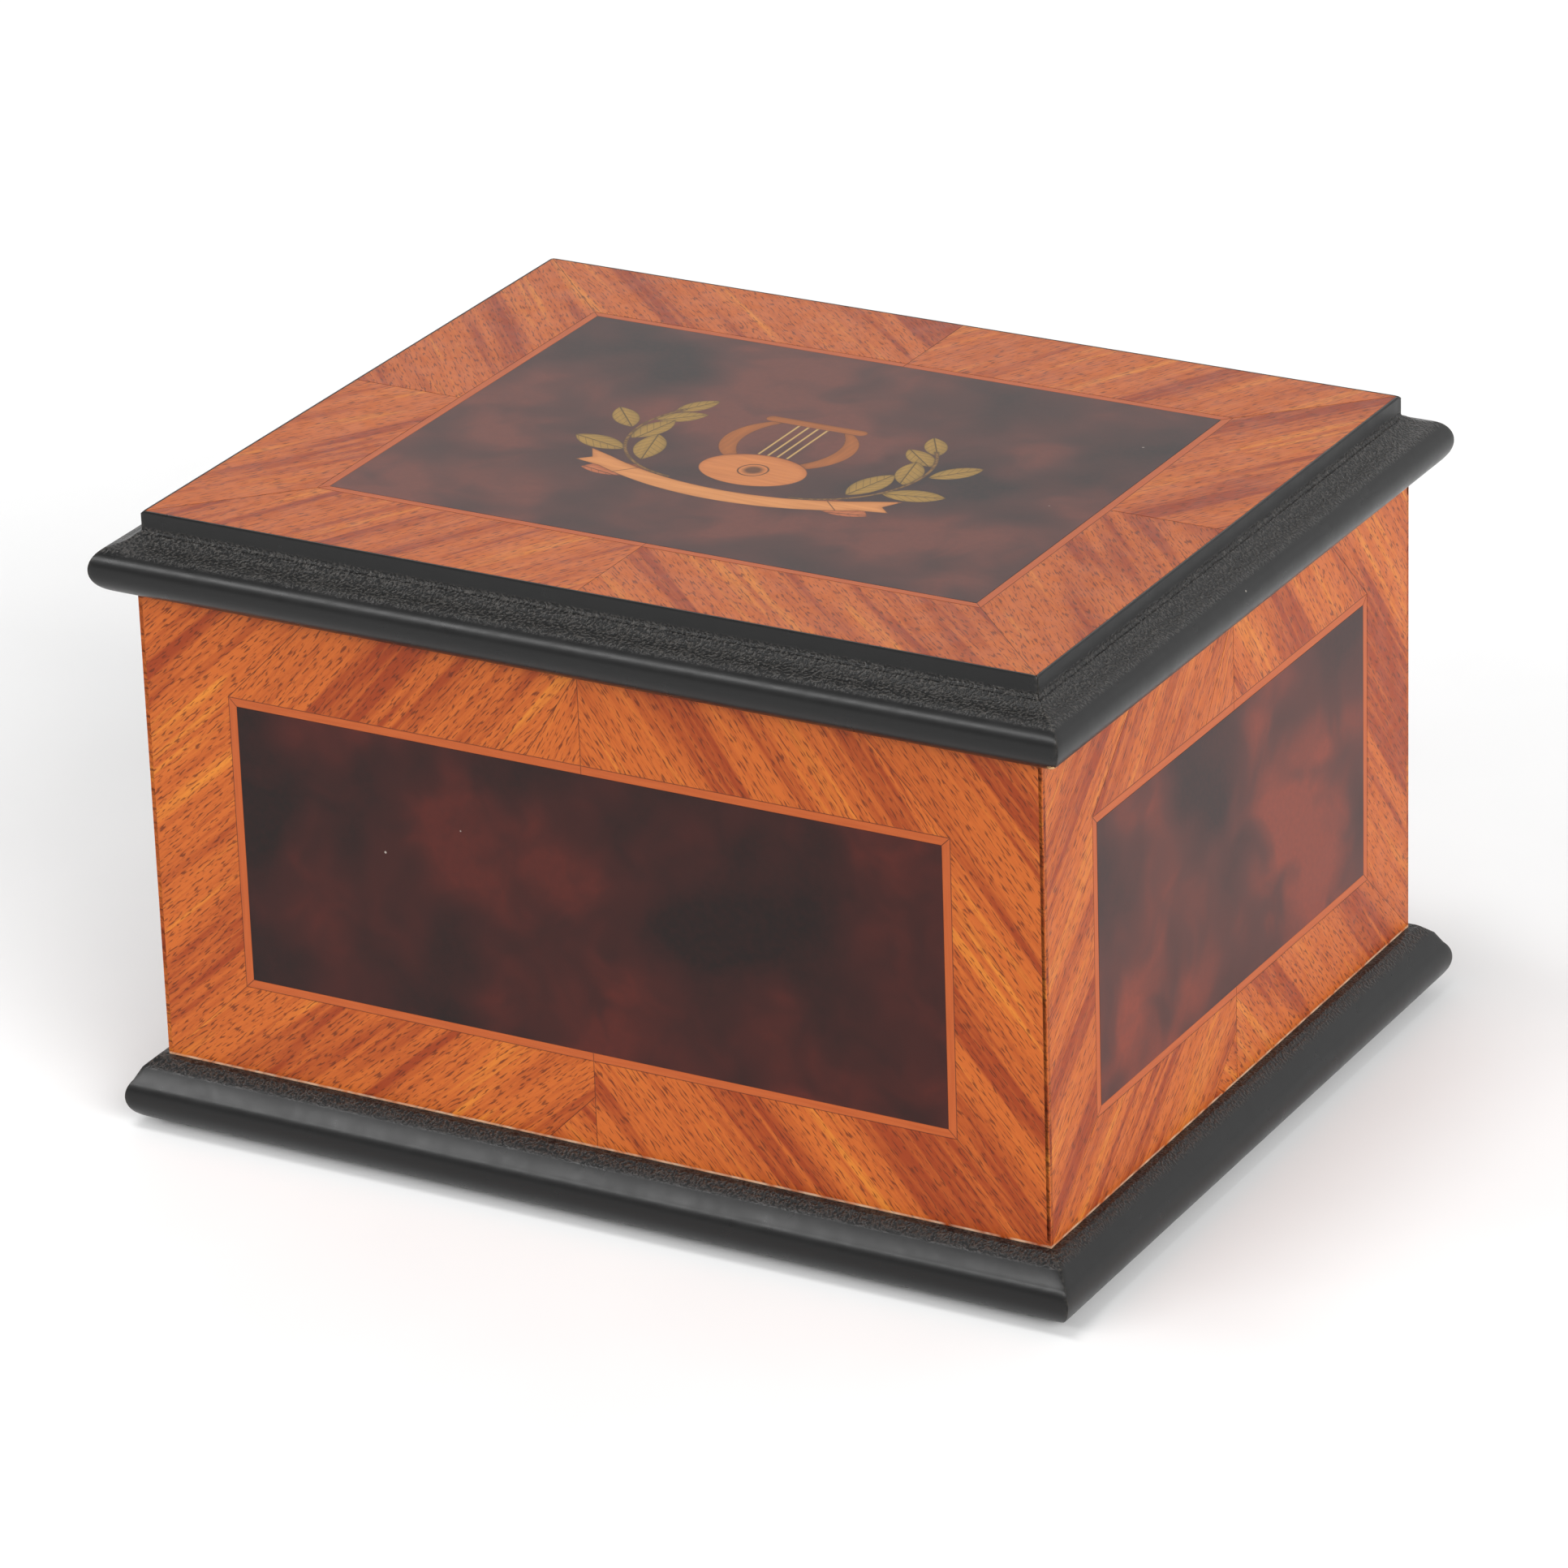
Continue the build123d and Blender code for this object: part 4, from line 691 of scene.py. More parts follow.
def welded_copy(node):
    """A copy of a CAD node's mesh with its corners joined and flat faces merged."""
    bm = bmesh.new()
    bm.from_mesh(NODES[node].data)
    bmesh.ops.remove_doubles(bm, verts=bm.verts, dist=2e-6)
    bmesh.ops.dissolve_limit(
        bm, angle_limit=math.radians(0.6), verts=bm.verts, edges=bm.edges
    )
    mesh = bpy.data.meshes.new(node + "_made")
    bm.to_mesh(mesh)
    bm.free()
    return mesh


def dressed(node, material, bevel=None, crease=32):
    """Stands for a CAD node with the same shape, eased edges and smooth shading."""
    mesh = welded_copy(node)
    if bevel:
        holder = bpy.data.objects.new("holder", mesh)
        bpy.context.scene.collection.objects.link(holder)
        easing = holder.modifiers.new("eased", "BEVEL")
        easing.width = bevel
        easing.segments = 2
        easing.limit_method = "ANGLE"
        easing.angle_limit = math.radians(40)
        mesh = plain_mesh(holder)
        mesh.name = node + "_made"
    shade_by_angle(mesh, crease)
    return finish_piece(
        node + "_made", mesh, BODY_OF[node], FINISHES[material], [node]
    )


# Veneer


def frame_strips(outer, inner):
    """Strips of a picture frame with mitred corners, each with its grain's angle."""
    x0, y0, x1, y1 = outer
    a0, b0, a1, b1 = inner
    middle = (x0 + x1) / 2
    return [
        ([(x0, y0), (a0, b0), (a0, b1), (x0, y1)], 90),
        ([(x1, y0), (x1, y1), (a1, b1), (a1, b0)], 90),
        ([(x0, y0), (middle, y0), (middle, b0), (a0, b0)], 0),
        ([(middle, y0), (x1, y0), (a1, b0), (middle, b0)], 0),
        ([(x0, y1), (a0, b1), (middle, b1), (middle, y1)], 0),
        ([(middle, y1), (middle, b1), (a1, b1), (x1, y1)], 0),
    ]


def wall_strips(outer, inner):
    """Crossband of a wall: its grain rises to the middle from both sides.

    The upper joints follow the grain, and two small wedges fill the middle seam."""
    x0, y0, x1, y1 = outer
    a0, b0, a1, b1 = inner
    middle = (x0 + x1) / 2
    rail = y1 - b1
    high_wedge, low_wedge = 0.64 * rail, 0.58 * rail
    tip = (middle, y0 + low_wedge)
    left_foot, right_foot = (a0 + rail, y1), (a1 - rail, y1)
    high_foot, low_foot = (middle - high_wedge, b1), (middle - low_wedge, y0)
    return [
        ([(x0, y0), (a0, b0), (a0, b1), left_foot, (x0, y1)], 42),
        ([(a0, b1), high_foot, (middle, y1), left_foot], 48),
        ([high_foot, (middle, b1), (middle, y1)], 62),
        ([(middle, b1), (a1, b1), right_foot, (middle, y1)], 126),
        ([(x1, y0), (x1, y1), right_foot, (a1, b1), (a1, b0)], 130),
        ([(x0, y0), low_foot, tip, (middle, b0), (a0, b0)], 40),
        ([low_foot, (middle, y0), tip], 138),
        ([(middle, y0), (x1, y0), (a1, b0), (middle, b0)], 132),
    ]


def lid_strips(outer, inner):
    """Crossband of the lid: all four rails meet at their middles, and the grain of
    each quarter runs from the lid's corner towards its middle."""
    x0, y0, x1, y1 = outer
    a0, b0, a1, b1 = inner
    middle_x, middle_y = (x0 + x1) / 2, (y0 + y1) / 2
    strips = []
    for x, a in ((x0, a0), (x1, a1)):
        for y, b in ((y0, b0), (y1, b1)):
            rising = (x < middle_x) == (y < middle_y)
            stile, rail = (56, 62) if rising else (132, 138)
            strips.append(([(x, y), (a, b), (a, middle_y), (x, middle_y)], stile))
            strips.append(([(x, y), (a, b), (middle_x, b), (middle_x, y)], rail))
    return strips


def signed_area(points):
    pairs = zip(points, points[1:] + points[:1])
    return sum(a[0] * b[1] - b[0] * a[1] for a, b in pairs) / 2


def inset_polygon(points, by):
    """The polygon moved in by a distance on every side."""
    count = len(points)
    hand = 1 if signed_area(points) > 0 else -1
    lines = []
    for i in range(count):
        a, b = Vector(points[i]), Vector(points[(i + 1) % count])
        normal = Vector((a.y - b.y, b.x - a.x)).normalized() * hand
        lines.append((a + normal * by, (b - a).normalized()))
    result = []
    for i in range(count):
        (p, d), (q, e) = lines[i - 1], lines[i]
        cross = d.x * e.y - d.y * e.x
        t = ((q - p).x * e.y - (q - p).y * e.x) / cross
        result.append(p + d * t)
    return result


def add_strip(bm, layers, points, grain, depth, place, joint, offset, edges):
    """One strip of veneer: a flat face, dark eased joints round it and its back.

    The joint stays pale where the strip ends at one of the edges, given along the wall."""
    seam, uv = layers
    inner = inset_polygon(points, joint)
    drop = joint * 0.3
    levels = [(inner, 0.0, 0.0), (points, -drop, 1.0), (points, -depth, 1.0)]
    ends = (min(edges), max(edges)) if edges else ()
    turn = math.radians(grain)
    flat = {}
    rings = []
    for outline, height, dark in levels:
        ring = []
        for p in outline:
            vertex = bm.verts.new(place @ Vector((p[0], p[1], height)))
            vertex[seam] = 0.0 if p[0] in ends else dark
            along = p[0] * math.cos(turn) + p[1] * math.sin(turn)
            across = -p[0] * math.sin(turn) + p[1] * math.cos(turn)
            flat[vertex] = (along + offset, across + offset * 0.7)
            ring.append(vertex)
        rings.append(ring)
    faces = [bm.faces.new(rings[0]), bm.faces.new(list(reversed(rings[2])))]
    count = len(points)
    for upper, lower in ((rings[0], rings[1]), (rings[1], rings[2])):
        for i in range(count):
            j = (i + 1) % count
            faces.append(bm.faces.new((upper[j], upper[i], lower[i], lower[j])))
    for face in faces:
        for loop in face.loops:
            loop[uv].uv = flat[loop.vert]


def veneer_mesh(name, strips, depth, place, seed, edges=()):
    """A closed mesh of several strips, each from its own part of the veneer leaf."""
    rng = random.Random(seed)
    bm = bmesh.new()
    layers = (bm.verts.layers.float.new("seam"), bm.loops.layers.uv.new("grain"))
    for points, grain in strips:
        offset = rng.uniform(0, 0.4)
        add_strip(bm, layers, points, grain, depth, place, sizes().joint, offset, edges)
    bmesh.ops.recalc_face_normals(bm, faces=bm.faces)
    mesh = bpy.data.meshes.new(name)
    bm.to_mesh(mesh)
    bm.free()
    return mesh


def side_place(side):
    """Turns (along, height, outward) on a wall's face to a place in the frame."""
    low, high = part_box("crossband_" + side)
    plane = {"front": -low.y, "right": high.x, "back": high.y, "left": -low.x}[side]
    upright = Matrix(((1, 0, 0), (0, 0, -1), (0, 1, 0))).to_4x4()
    turn = Matrix.Rotation(math.radians(SIDES[side]), 4, "Z")
    return turn @ Matrix.Translation((0, -plane, 0)) @ upright


def side_rectangle(node, side):
    """(along, height) rectangle of a veneer node, seen from outside its wall."""
    low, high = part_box(node + side)
    axis = 0 if side in ("front", "back") else 1
    half = max(abs(low[axis]), abs(high[axis]))
    return (-half, low.z, half, high.z)


def grown(rectangle, by):
    x0, y0, x1, y1 = rectangle
    return (x0 - by, y0 - by, x1 + by, y1 + by)


def veneer_depth(node):
    low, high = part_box(node)
    return min(high[i] - low[i] for i in range(3))


def lid_rectangle(node):
    low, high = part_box(node)
    return (low.x, low.y, high.x, high.y)


# Geometry node trees


def group_tree(name, inputs):
    """An empty geometry tree with a geometry in and out and the named inputs."""
    tree = bpy.data.node_groups.new(name, "GeometryNodeTree")
    tree.interface.new_socket("Geometry", in_out="INPUT", socket_type="NodeSocketGeometry")
    for label, kind in inputs:
        tree.interface.new_socket(label, in_out="INPUT", socket_type=kind)
    tree.interface.new_socket("Geometry", in_out="OUTPUT", socket_type="NodeSocketGeometry")
    return tree, add(tree, "NodeGroupInput"), add(tree, "NodeGroupOutput")


def run_tree(tree, mesh, values):
    """The plain mesh that a geometry tree makes of a mesh."""
    holder = bpy.data.objects.new("holder", mesh)
    bpy.context.scene.collection.objects.link(holder)
    modifier = holder.modifiers.new("tree", "NODES")
    modifier.node_group = tree
    for item in tree.interface.items_tree:
        if item.in_out == "INPUT" and item.name in values:
            modifier[item.identifier] = values[item.name]
    return plain_mesh(holder)


def mitred_bar_tree():
    """Sweeps a section along one side and cuts both ends to their mitres.

    The section's points are (outward, height). Rings lie closer towards the ends,
    where the section shrinks a little, so that the mitre shows as a fine line."""
    tree, given, out = group_tree(
        "mitred_bar",
        [
            ("Half Run", "NodeSocketFloat"),
            ("Stand Off", "NodeSocketFloat"),
            ("Rings", "NodeSocketInt"),
            ("Arris", "NodeSocketFloat"),
            ("Arris Length", "NodeSocketFloat"),
            ("Centre", "NodeSocketVector"),
            ("Material", "NodeSocketMaterial"),
        ],
    )
    here = add(tree, "GeometryNodeInputPosition").outputs[0]
    section = add(
        tree,
        "GeometryNodeStoreNamedAttribute",
        {"Geometry": given.outputs["Geometry"], "Name": "section", "Value": here},
        data_type="FLOAT_VECTOR",
        domain="POINT",
    )
    outline = add(tree, "GeometryNodeMeshToCurve", {"Mesh": section.outputs[0]})
    line = add(
        tree,
        "GeometryNodeCurvePrimitiveLine",
        {"Start": (-1, 0, 0), "End": (1, 0, 0)},
    )
    path = add(
        tree,
        "GeometryNodeResampleCurve",
        {"Curve": line.outputs[0], "Count": given.outputs["Rings"]},
    )
    marked = add(
        tree,
        "GeometryNodeStoreNamedAttribute",
        {"Geometry": path.outputs[0], "Name": "run", "Value": here},
        data_type="FLOAT_VECTOR",
        domain="POINT",
    )
    bar = add(
        tree,
        "GeometryNodeCurveToMesh",
        {
            "Curve": marked.outputs[0],
            "Profile Curve": outline.outputs[0],
            "Fill Caps": True,
        },
    )
    run = add(
        tree, "GeometryNodeInputNamedAttribute", {"Name": "run"}, data_type="FLOAT_VECTOR"
    )
    shape = add(
        tree, "GeometryNodeInputNamedAttribute", {"Name": "section"}, data_type="FLOAT_VECTOR"
    )
    t = add(tree, "ShaderNodeSeparateXYZ", {0: run.outputs[0]}).outputs[0]
    side = add(tree, "ShaderNodeMath", {0: t}, operation="SIGN").outputs[0]
    size = add(tree, "ShaderNodeMath", {0: t}, operation="ABSOLUTE").outputs[0]
    left = arithmetic(tree, "SUBTRACT", 1.0, size)
    left = arithmetic(tree, "MULTIPLY", left, left)
    o = add(tree, "ShaderNodeSeparateXYZ", {0: shape.outputs[0]}).outputs[0]
    reach = arithmetic(tree, "ADD", given.outputs["Half Run"], o)
    along = arithmetic(
        tree, "MULTIPLY", side, arithmetic(tree, "MULTIPLY", reach, arithmetic(tree, "SUBTRACT", 1.0, left))
    )
    to_end = arithmetic(tree, "MULTIPLY", reach, left)
    closeness = add(
        tree,
        "ShaderNodeMapRange",
        {
            "Value": to_end,
            "From Min": given.outputs["Arris Length"],
            "From Max": 0.0,
        },
    ).outputs[0]
    squared = arithmetic(tree, "MULTIPLY", closeness, closeness)
    shrink = arithmetic(tree, "MULTIPLY", squared, given.outputs["Arris"])
    from_centre = add(
        tree,
        "ShaderNodeVectorMath",
        {0: shape.outputs[0], 1: given.outputs["Centre"]},
        operation="SUBTRACT",
    ).outputs[0]
    pulled = add(
        tree, "ShaderNodeVectorMath", {0: from_centre, "Scale": shrink}, operation="SCALE"
    ).outputs[0]
    drawn = add(
        tree, "ShaderNodeVectorMath", {0: shape.outputs[0], 1: pulled}, operation="SUBTRACT"
    ).outputs[0]
    parts = add(tree, "ShaderNodeSeparateXYZ", {0: drawn})
    outward = arithmetic(
        tree,
        "MULTIPLY",
        arithmetic(tree, "ADD", given.outputs["Stand Off"], parts.outputs[0]),
        -1.0,
    )
    place = add(
        tree, "ShaderNodeCombineXYZ", {0: along, 1: outward, 2: parts.outputs[1]}
    ).outputs[0]
    moved = add(
        tree, "GeometryNodeSetPosition", {"Geometry": bar.outputs[0], "Position": place}
    )
    # Closeness to the mitre, kept for the lacquer's rubbed wear and its painted glints
    mitre_wear_and_glint_mask = add(
        tree,
        "GeometryNodeStoreNamedAttribute",
        {"Geometry": moved.outputs[0], "Name": "mitre", "Value": squared},
        data_type="FLOAT",
        domain="POINT",
    )
    real = add(tree, "GeometryNodeRealizeInstances", {"Geometry": mitre_wear_and_glint_mask.outputs[0]})
    faced = add(
        tree,
        "GeometryNodeSetMaterial",
        {"Geometry": real.outputs[0], "Material": given.outputs["Material"]},
    )
    tree.links.new(faced.outputs[0], out.inputs[0])
    return tree


def screws_tree():
    """Sets one screw on every point, turned to the point's facing direction."""
    tree, given, out = group_tree(
        "slotted_screws",
        [
            ("Screw", "NodeSocketObject"),
            ("Seed", "NodeSocketInt"),
            ("Material", "NodeSocketMaterial"),
        ],
    )
    facing = add(
        tree, "GeometryNodeInputNamedAttribute", {"Name": "facing"}, data_type="FLOAT_VECTOR"
    )
    aligned = add(
        tree, "FunctionNodeAlignRotationToVector", {"Vector": facing.outputs[0]}, axis="Z"
    )
    angle = add(
        tree,
        "FunctionNodeRandomValue",
        {"Min": (0, 0, 0), "Max": (0, 0, math.pi), "Seed": given.outputs["Seed"]},
        data_type="FLOAT_VECTOR",
    )
    spun = add(
        tree,
        "FunctionNodeRotateRotation",
        {"Rotation": aligned.outputs[0], "Rotate By": angle.outputs[0]},
        rotation_space="LOCAL",
    )
    screw = add(tree, "GeometryNodeObjectInfo", {"Object": given.outputs["Screw"]})
    placed = add(
        tree,
        "GeometryNodeInstanceOnPoints",
        {
            "Points": given.outputs["Geometry"],
            "Instance": screw.outputs["Geometry"],
            "Rotation": spun.outputs[0],
        },
    )
    real = add(tree, "GeometryNodeRealizeInstances", {"Geometry": placed.outputs[0]})
    faced = add(
        tree,
        "GeometryNodeSetMaterial",
        {"Geometry": real.outputs[0], "Material": given.outputs["Material"]},
    )
    tree.links.new(faced.outputs[0], out.inputs[0])
    return tree


# Mouldings


def arc_points(centre, radius, start, end, steps):
    """Points of an arc from start to end, in radians, without its first point."""
    return [
        (
            centre[0] + radius * math.cos(start + (end - start) * i / steps),
            centre[1] + radius * math.sin(start + (end - start) * i / steps),
        )
        for i in range(1, steps + 1)
    ]


def wall_plane():
    """Half lengths of the case over its veneer, in X and Y."""
    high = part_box("crossband_front")[1]
    return high.x, -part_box("crossband_front")[0].y


def moulding_back():
    """How far a moulding reaches inside the wall's face."""
    return wall_plane()[1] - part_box("divider")[1].y


def base_section():
    s = sizes()
    low, high = (v.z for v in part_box("base_moulding_front"))
    centre = (s.base_reach - s.base_nose, low + s.base_nose)
    turn = s.base_shoulder
    start = (
        centre[0] + s.base_nose * math.cos(turn),
        centre[1] + s.base_nose * math.sin(turn),
    )
    eased = 0.15 * MM
    points = [(-moulding_back(), low), (-moulding_back(), high), (s.base_ledge - eased, high)]
    points.append((s.base_ledge, high - eased * 0.4))
    middle = (
        (start[0] + s.base_ledge) / 2 + 0.25 * MM,
        (start[1] + high) / 2 + 0.2 * MM,
    )
    points += [middle, start]
    points += arc_points(centre, s.base_nose, turn, -math.pi / 2, 22)
    return points


def lid_section():
    s = sizes()
    low, high = (v.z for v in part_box("lid_moulding_front"))
    under_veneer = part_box("lid_crossband")[0].z
    centre = (s.lid_reach - s.lid_nose, low + s.lid_nose)
    fillet = -s.lid_fillet_inset
    fillet_low = high - s.lid_fillet_height
    eased = 0.2 * MM
    hollow = 0.3 * MM
    points = [(-moulding_back(), low)]
    points += [(centre[0], low)]
    points += arc_points(centre, s.lid_nose, -math.pi / 2, s.lid_nose_end, 22)
    cove_centre = (fillet + s.lid_cove, fillet_low)
    shoulder = points[-1]
    cove_end = (fillet + s.lid_cove, fillet_low - s.lid_cove)
    for i in (1, 2, 3):
        share = i / 4
        sag = hollow * math.sin(math.pi * share)
        points.append(
            (
                shoulder[0] + (cove_end[0] - shoulder[0]) * share - sag * 0.7,
                shoulder[1] + (cove_end[1] - shoulder[1]) * share - sag * 0.7,
            )
        )
    points.append(cove_end)
    points += arc_points(cove_centre, s.lid_cove, -math.pi / 2, -math.pi, 6)
    points += [
        (fillet, high - eased),
        (fillet - eased, high),
        (fillet - s.lid_lip, high),
        (fillet - s.lid_lip, under_veneer),
        (-moulding_back(), under_veneer),
    ]
    return points


def section_mesh(points):
    """A closed loop of edges in XY."""
    mesh = bpy.data.meshes.new("section")
    count = len(points)
    edges = [(i, (i + 1) % count) for i in range(count)]
    mesh.from_pydata([(x, y, 0) for x, y in points], edges, [])
    return mesh


def moulding_mesh(tree, side, points):
    """One mitred side of a moulding, as a plain closed mesh."""
    width, depth = wall_plane()
    half_run, stand_off = (width, depth) if side in ("front", "back") else (depth, width)
    centre = (
        sum(p[0] for p in points) / len(points),
        sum(p[1] for p in points) / len(points),
        0,
    )
    values = {
        "Half Run": half_run,
        "Stand Off": stand_off,
        "Rings": 41,
        "Arris": sizes().arris,
        "Arris Length": 0.5 * MM,
        "Centre": centre,
        "Material": FINISHES["lacquer"],
    }
    mesh = run_tree(tree, section_mesh(points), values)
    mesh.transform(Matrix.Rotation(math.radians(SIDES[side]), 4, "Z"))
    bm = bmesh.new()
    bm.from_mesh(mesh)
    bmesh.ops.remove_doubles(bm, verts=bm.verts, dist=1e-7)
    bmesh.ops.recalc_face_normals(bm, faces=bm.faces)
    bm.to_mesh(mesh)
    bm.free()
    return mesh


def box_object(low, high):
    """A plain box between two corners, for cutting."""
    bm = bmesh.new()
    bmesh.ops.create_cube(bm, size=1)
    mesh = bpy.data.meshes.new("cutter")
    for vertex in bm.verts:
        for i in range(3):
            vertex.co[i] = low[i] if vertex.co[i] < 0 else high[i]
    bm.to_mesh(mesh)
    bm.free()
    cutter = bpy.data.objects.new("cutter", mesh)
    bpy.context.scene.collection.objects.link(cutter)
    return cutter


def cut_notches(mesh):
    """Cuts the hinges' notches and leaf beds out of the lid's back moulding."""
    clearance = 0.3 * MM
    holder = bpy.data.objects.new("holder", mesh)
    bpy.context.scene.collection.objects.link(holder)
    cutters = []
    wall_y = wall_plane()[1]
    low_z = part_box("lid_moulding_back")[0].z
    for low, high in solid_boxes("hinge_lid_leaves"):
        notch_low = (low.x - clearance, wall_y, low_z - clearance)
        notch_high = (high.x + clearance, high.y + 2 * MM, high.z + clearance)
        cutters.append(box_object(notch_low, notch_high))
        bed_top = low_z + 0.75 * MM
        cutters.append(
            box_object((low.x, low.y, low_z - clearance), (high.x, wall_y + clearance, bed_top))
        )
    for cutter in cutters:
        cut = holder.modifiers.new("cut", "BOOLEAN")
        cut.operation = "DIFFERENCE"
        cut.solver = "EXACT"
        cut.object = cutter
    made = plain_mesh(holder)
    for cutter in cutters:
        bpy.data.objects.remove(cutter)
    return made


def solid_boxes(node):
    """The lowest and highest corner of each separate solid of a CAD node."""
    bm = bmesh.new()
    bm.from_mesh(NODES[node].data)
    bmesh.ops.remove_doubles(bm, verts=bm.verts, dist=2e-6)
    boxes = []
    left = set(bm.verts)
    while left:
        stack = [left.pop()]
        island = []
        while stack:
            vertex = stack.pop()
            island.append(vertex.co.copy())
            for edge in vertex.link_edges:
                other = edge.other_vert(vertex)
                if other in left:
                    left.remove(other)
                    stack.append(other)
        low = Vector([min(p[i] for p in island) for i in range(3)])
        high = Vector([max(p[i] for p in island) for i in range(3)])
        boxes.append((low, high))
    bm.free()
    return sorted(boxes, key=lambda b: tuple(round(x, 6) for x in b[0]))


# Screws


def lathed(profile, steps):
    """A closed turned mesh of (radius, height) points that start and end on the axis."""
    bm = bmesh.new()
    rings = []
    for radius, height in profile:
        if radius < 1e-9:
            rings.append([bm.verts.new((0, 0, height))])
        else:
            rings.append(
                [
                    bm.verts.new(
                        (
                            radius * math.cos(2 * math.pi * i / steps),
                            radius * math.sin(2 * math.pi * i / steps),
                            height,
                        )
                    )
                    for i in range(steps)
                ]
            )
    for lower, upper in zip(rings, rings[1:]):
        for i in range(steps):
            j = (i + 1) % steps
            corners = [lower[i % len(lower)], lower[j % len(lower)]]
            corners += [upper[j % len(upper)], upper[i % len(upper)]]
            unique = list(dict.fromkeys(corners))
            if len(unique) > 2:
                bm.faces.new(unique)
    bmesh.ops.recalc_face_normals(bm, faces=bm.faces)
    return bm


def screw_object(profile, slot_width, slot_depth):
    """A slotted screw that faces +Z, with its head's top at the origin."""
    bm = lathed(profile, 32)
    mesh = bpy.data.meshes.new("screw")
    bm.to_mesh(mesh)
    bm.free()
    holder = bpy.data.objects.new("holder", mesh)
    bpy.context.scene.collection.objects.link(holder)
    reach = 5 * MM
    cutter = box_object(
        (-reach, -slot_width / 2, -slot_depth), (reach, slot_width / 2, reach)
    )
    cut = holder.modifiers.new("slot", "BOOLEAN")
    cut.solver = "EXACT"
    cut.object = cutter
    mesh = plain_mesh(holder)
    bpy.data.objects.remove(cutter)
    shade_by_angle(mesh, 35)
    screw = bpy.data.objects.new("screw", mesh)
    bpy.context.scene.collection.objects.link(screw)
    return screw


def round_head_profile(radius, height, shank, length):
    """Points of a domed head and its shank, from the top down."""
    points = [(0, 0)]
    for i in range(1, 7):
        turn = math.pi / 2 * i / 6
        points.append(
            (radius * math.sin(turn), -height * 0.65 * (1 - math.cos(turn)))
        )
    points += [(radius, -height), (shank, -height), (shank, -length), (0, -length)]
    return points


def sunk_head_profile(radius, height, shank, length):
    """Points of a countersunk head and its shank, from the top down."""
    return [(0, 0), (radius * 0.97, 0), (radius, -0.03 * MM)] + [
        (shank, -height),
        (shank, -length),
        (0, -length),
    ]


def screws_piece(tree, node, facing_of, profile_of, material, seed):
    """Stands for a node of like screws. The two functions read each solid's box."""
    boxes = solid_boxes(node)
    mesh = bpy.data.meshes.new("places")
    tops = [top_of(low, high, facing_of(low, high)) for low, high in boxes]
    mesh.from_pydata(tops, [], [])
    attribute = mesh.attributes.new("facing", "FLOAT_VECTOR", "POINT")
    for i, (low, high) in enumerate(boxes):
        attribute.data[i].vector = facing_of(low, high)
    screw = screw_object(*profile_of(*boxes[0]))
    values = {"Screw": screw, "Seed": seed, "Material": FINISHES[material]}
    made = run_tree(tree, mesh, values)
    bpy.data.objects.remove(screw)
    made.name = node + "_made"
    return finish_piece(
        node + "_made", made, BODY_OF[node], FINISHES[material], [node]
    )


def top_of(low, high, facing):
    """The middle of a box's face on the facing side."""
    centre = (low + high) / 2
    half = (high - low) / 2
    return centre + Vector([half[i] * facing[i] for i in range(3)])


def length_of(low, high):
    return max(high[i] - low[i] for i in range(3))


def radius_of(low, high):
    return sorted(high[i] - low[i] for i in range(3))[1] / 2


def round_screw_of(low, high):
    length, radius = length_of(low, high), radius_of(low, high)
    return round_head_profile(radius, 1.1 * MM, 0.9 * MM, length), 0.4 * MM, 0.4 * MM


def sunk_screw_of(low, high):
    length, radius = length_of(low, high), radius_of(low, high)
    return sunk_head_profile(radius, 0.6 * MM, 0.7 * MM, length), 0.4 * MM, 0.2 * MM


def facing_up(low, high):
    return Vector((0, 0, 1))


def facing_down(low, high):
    return Vector((0, 0, -1))


def facing_by_shape(low, high):
    """Up for an upright screw, and +X for one that lies along X."""
    upright = high.z - low.z > high.x - low.x
    return Vector((0, 0, 1)) if upright else Vector((1, 0, 0))


# Marquetry


def top_outlines(node):
    """The outline of each flat piece of a CAD node, seen from above, and its two heights.

    A piece ends where a side wall meets the top, also where two pieces touch."""
    mesh = NODES[node].data
    high = max(v.co.z for v in mesh.vertices)
    low = min(v.co.z for v in mesh.vertices)
    grid = 1e-6

    def key(index):
        place = mesh.vertices[index].co
        return round(place.x / grid), round(place.y / grid)

    tops, walls = [], set()
    for polygon in mesh.polygons:
        at_top = [i for i in polygon.vertices if mesh.vertices[i].co.z > high - grid]
        corners = [key(i) for i in at_top]
        if len(corners) == len(polygon.vertices):
            tops.append(corners)
        elif len(corners) == 2:
            walls.add(frozenset(corners))
    faces_of = {}
    for index, corners in enumerate(tops):
        for edge in edges_of(corners):
            faces_of.setdefault(edge, []).append(index)
    left = set(range(len(tops)))
    outlines = []
    while left:
        stack = [left.pop()]
        found = set(stack)
        while stack:
            for edge in edges_of(tops[stack.pop()]):
                for other in faces_of[edge]:
                    if edge not in walls and other in left:
                        left.remove(other)
                        found.add(other)
                        stack.append(other)
        rim = [e for i in found for e in edges_of(tops[i]) if e in walls]
        outlines.append([Vector(p) * grid for p in chained(rim)])
    return outlines, low, high


def edges_of(corners):
    return [frozenset(pair) for pair in zip(corners, corners[1:] + corners[:1])]


def chained(edges):
    """The corners of a closed outline in order, from its edges in any order."""
    follow = {}
    for edge in edges:
        a, b = edge
        follow.setdefault(a, []).append(b)
        follow.setdefault(b, []).append(a)
    start = min(follow)
    chain, previous = [start], None
    while True:
        here = chain[-1]
        onward = next((p for p in follow[here] if p != previous), None)
        if onward is None or onward == start:
            return chain
        previous = here
        chain.append(onward)


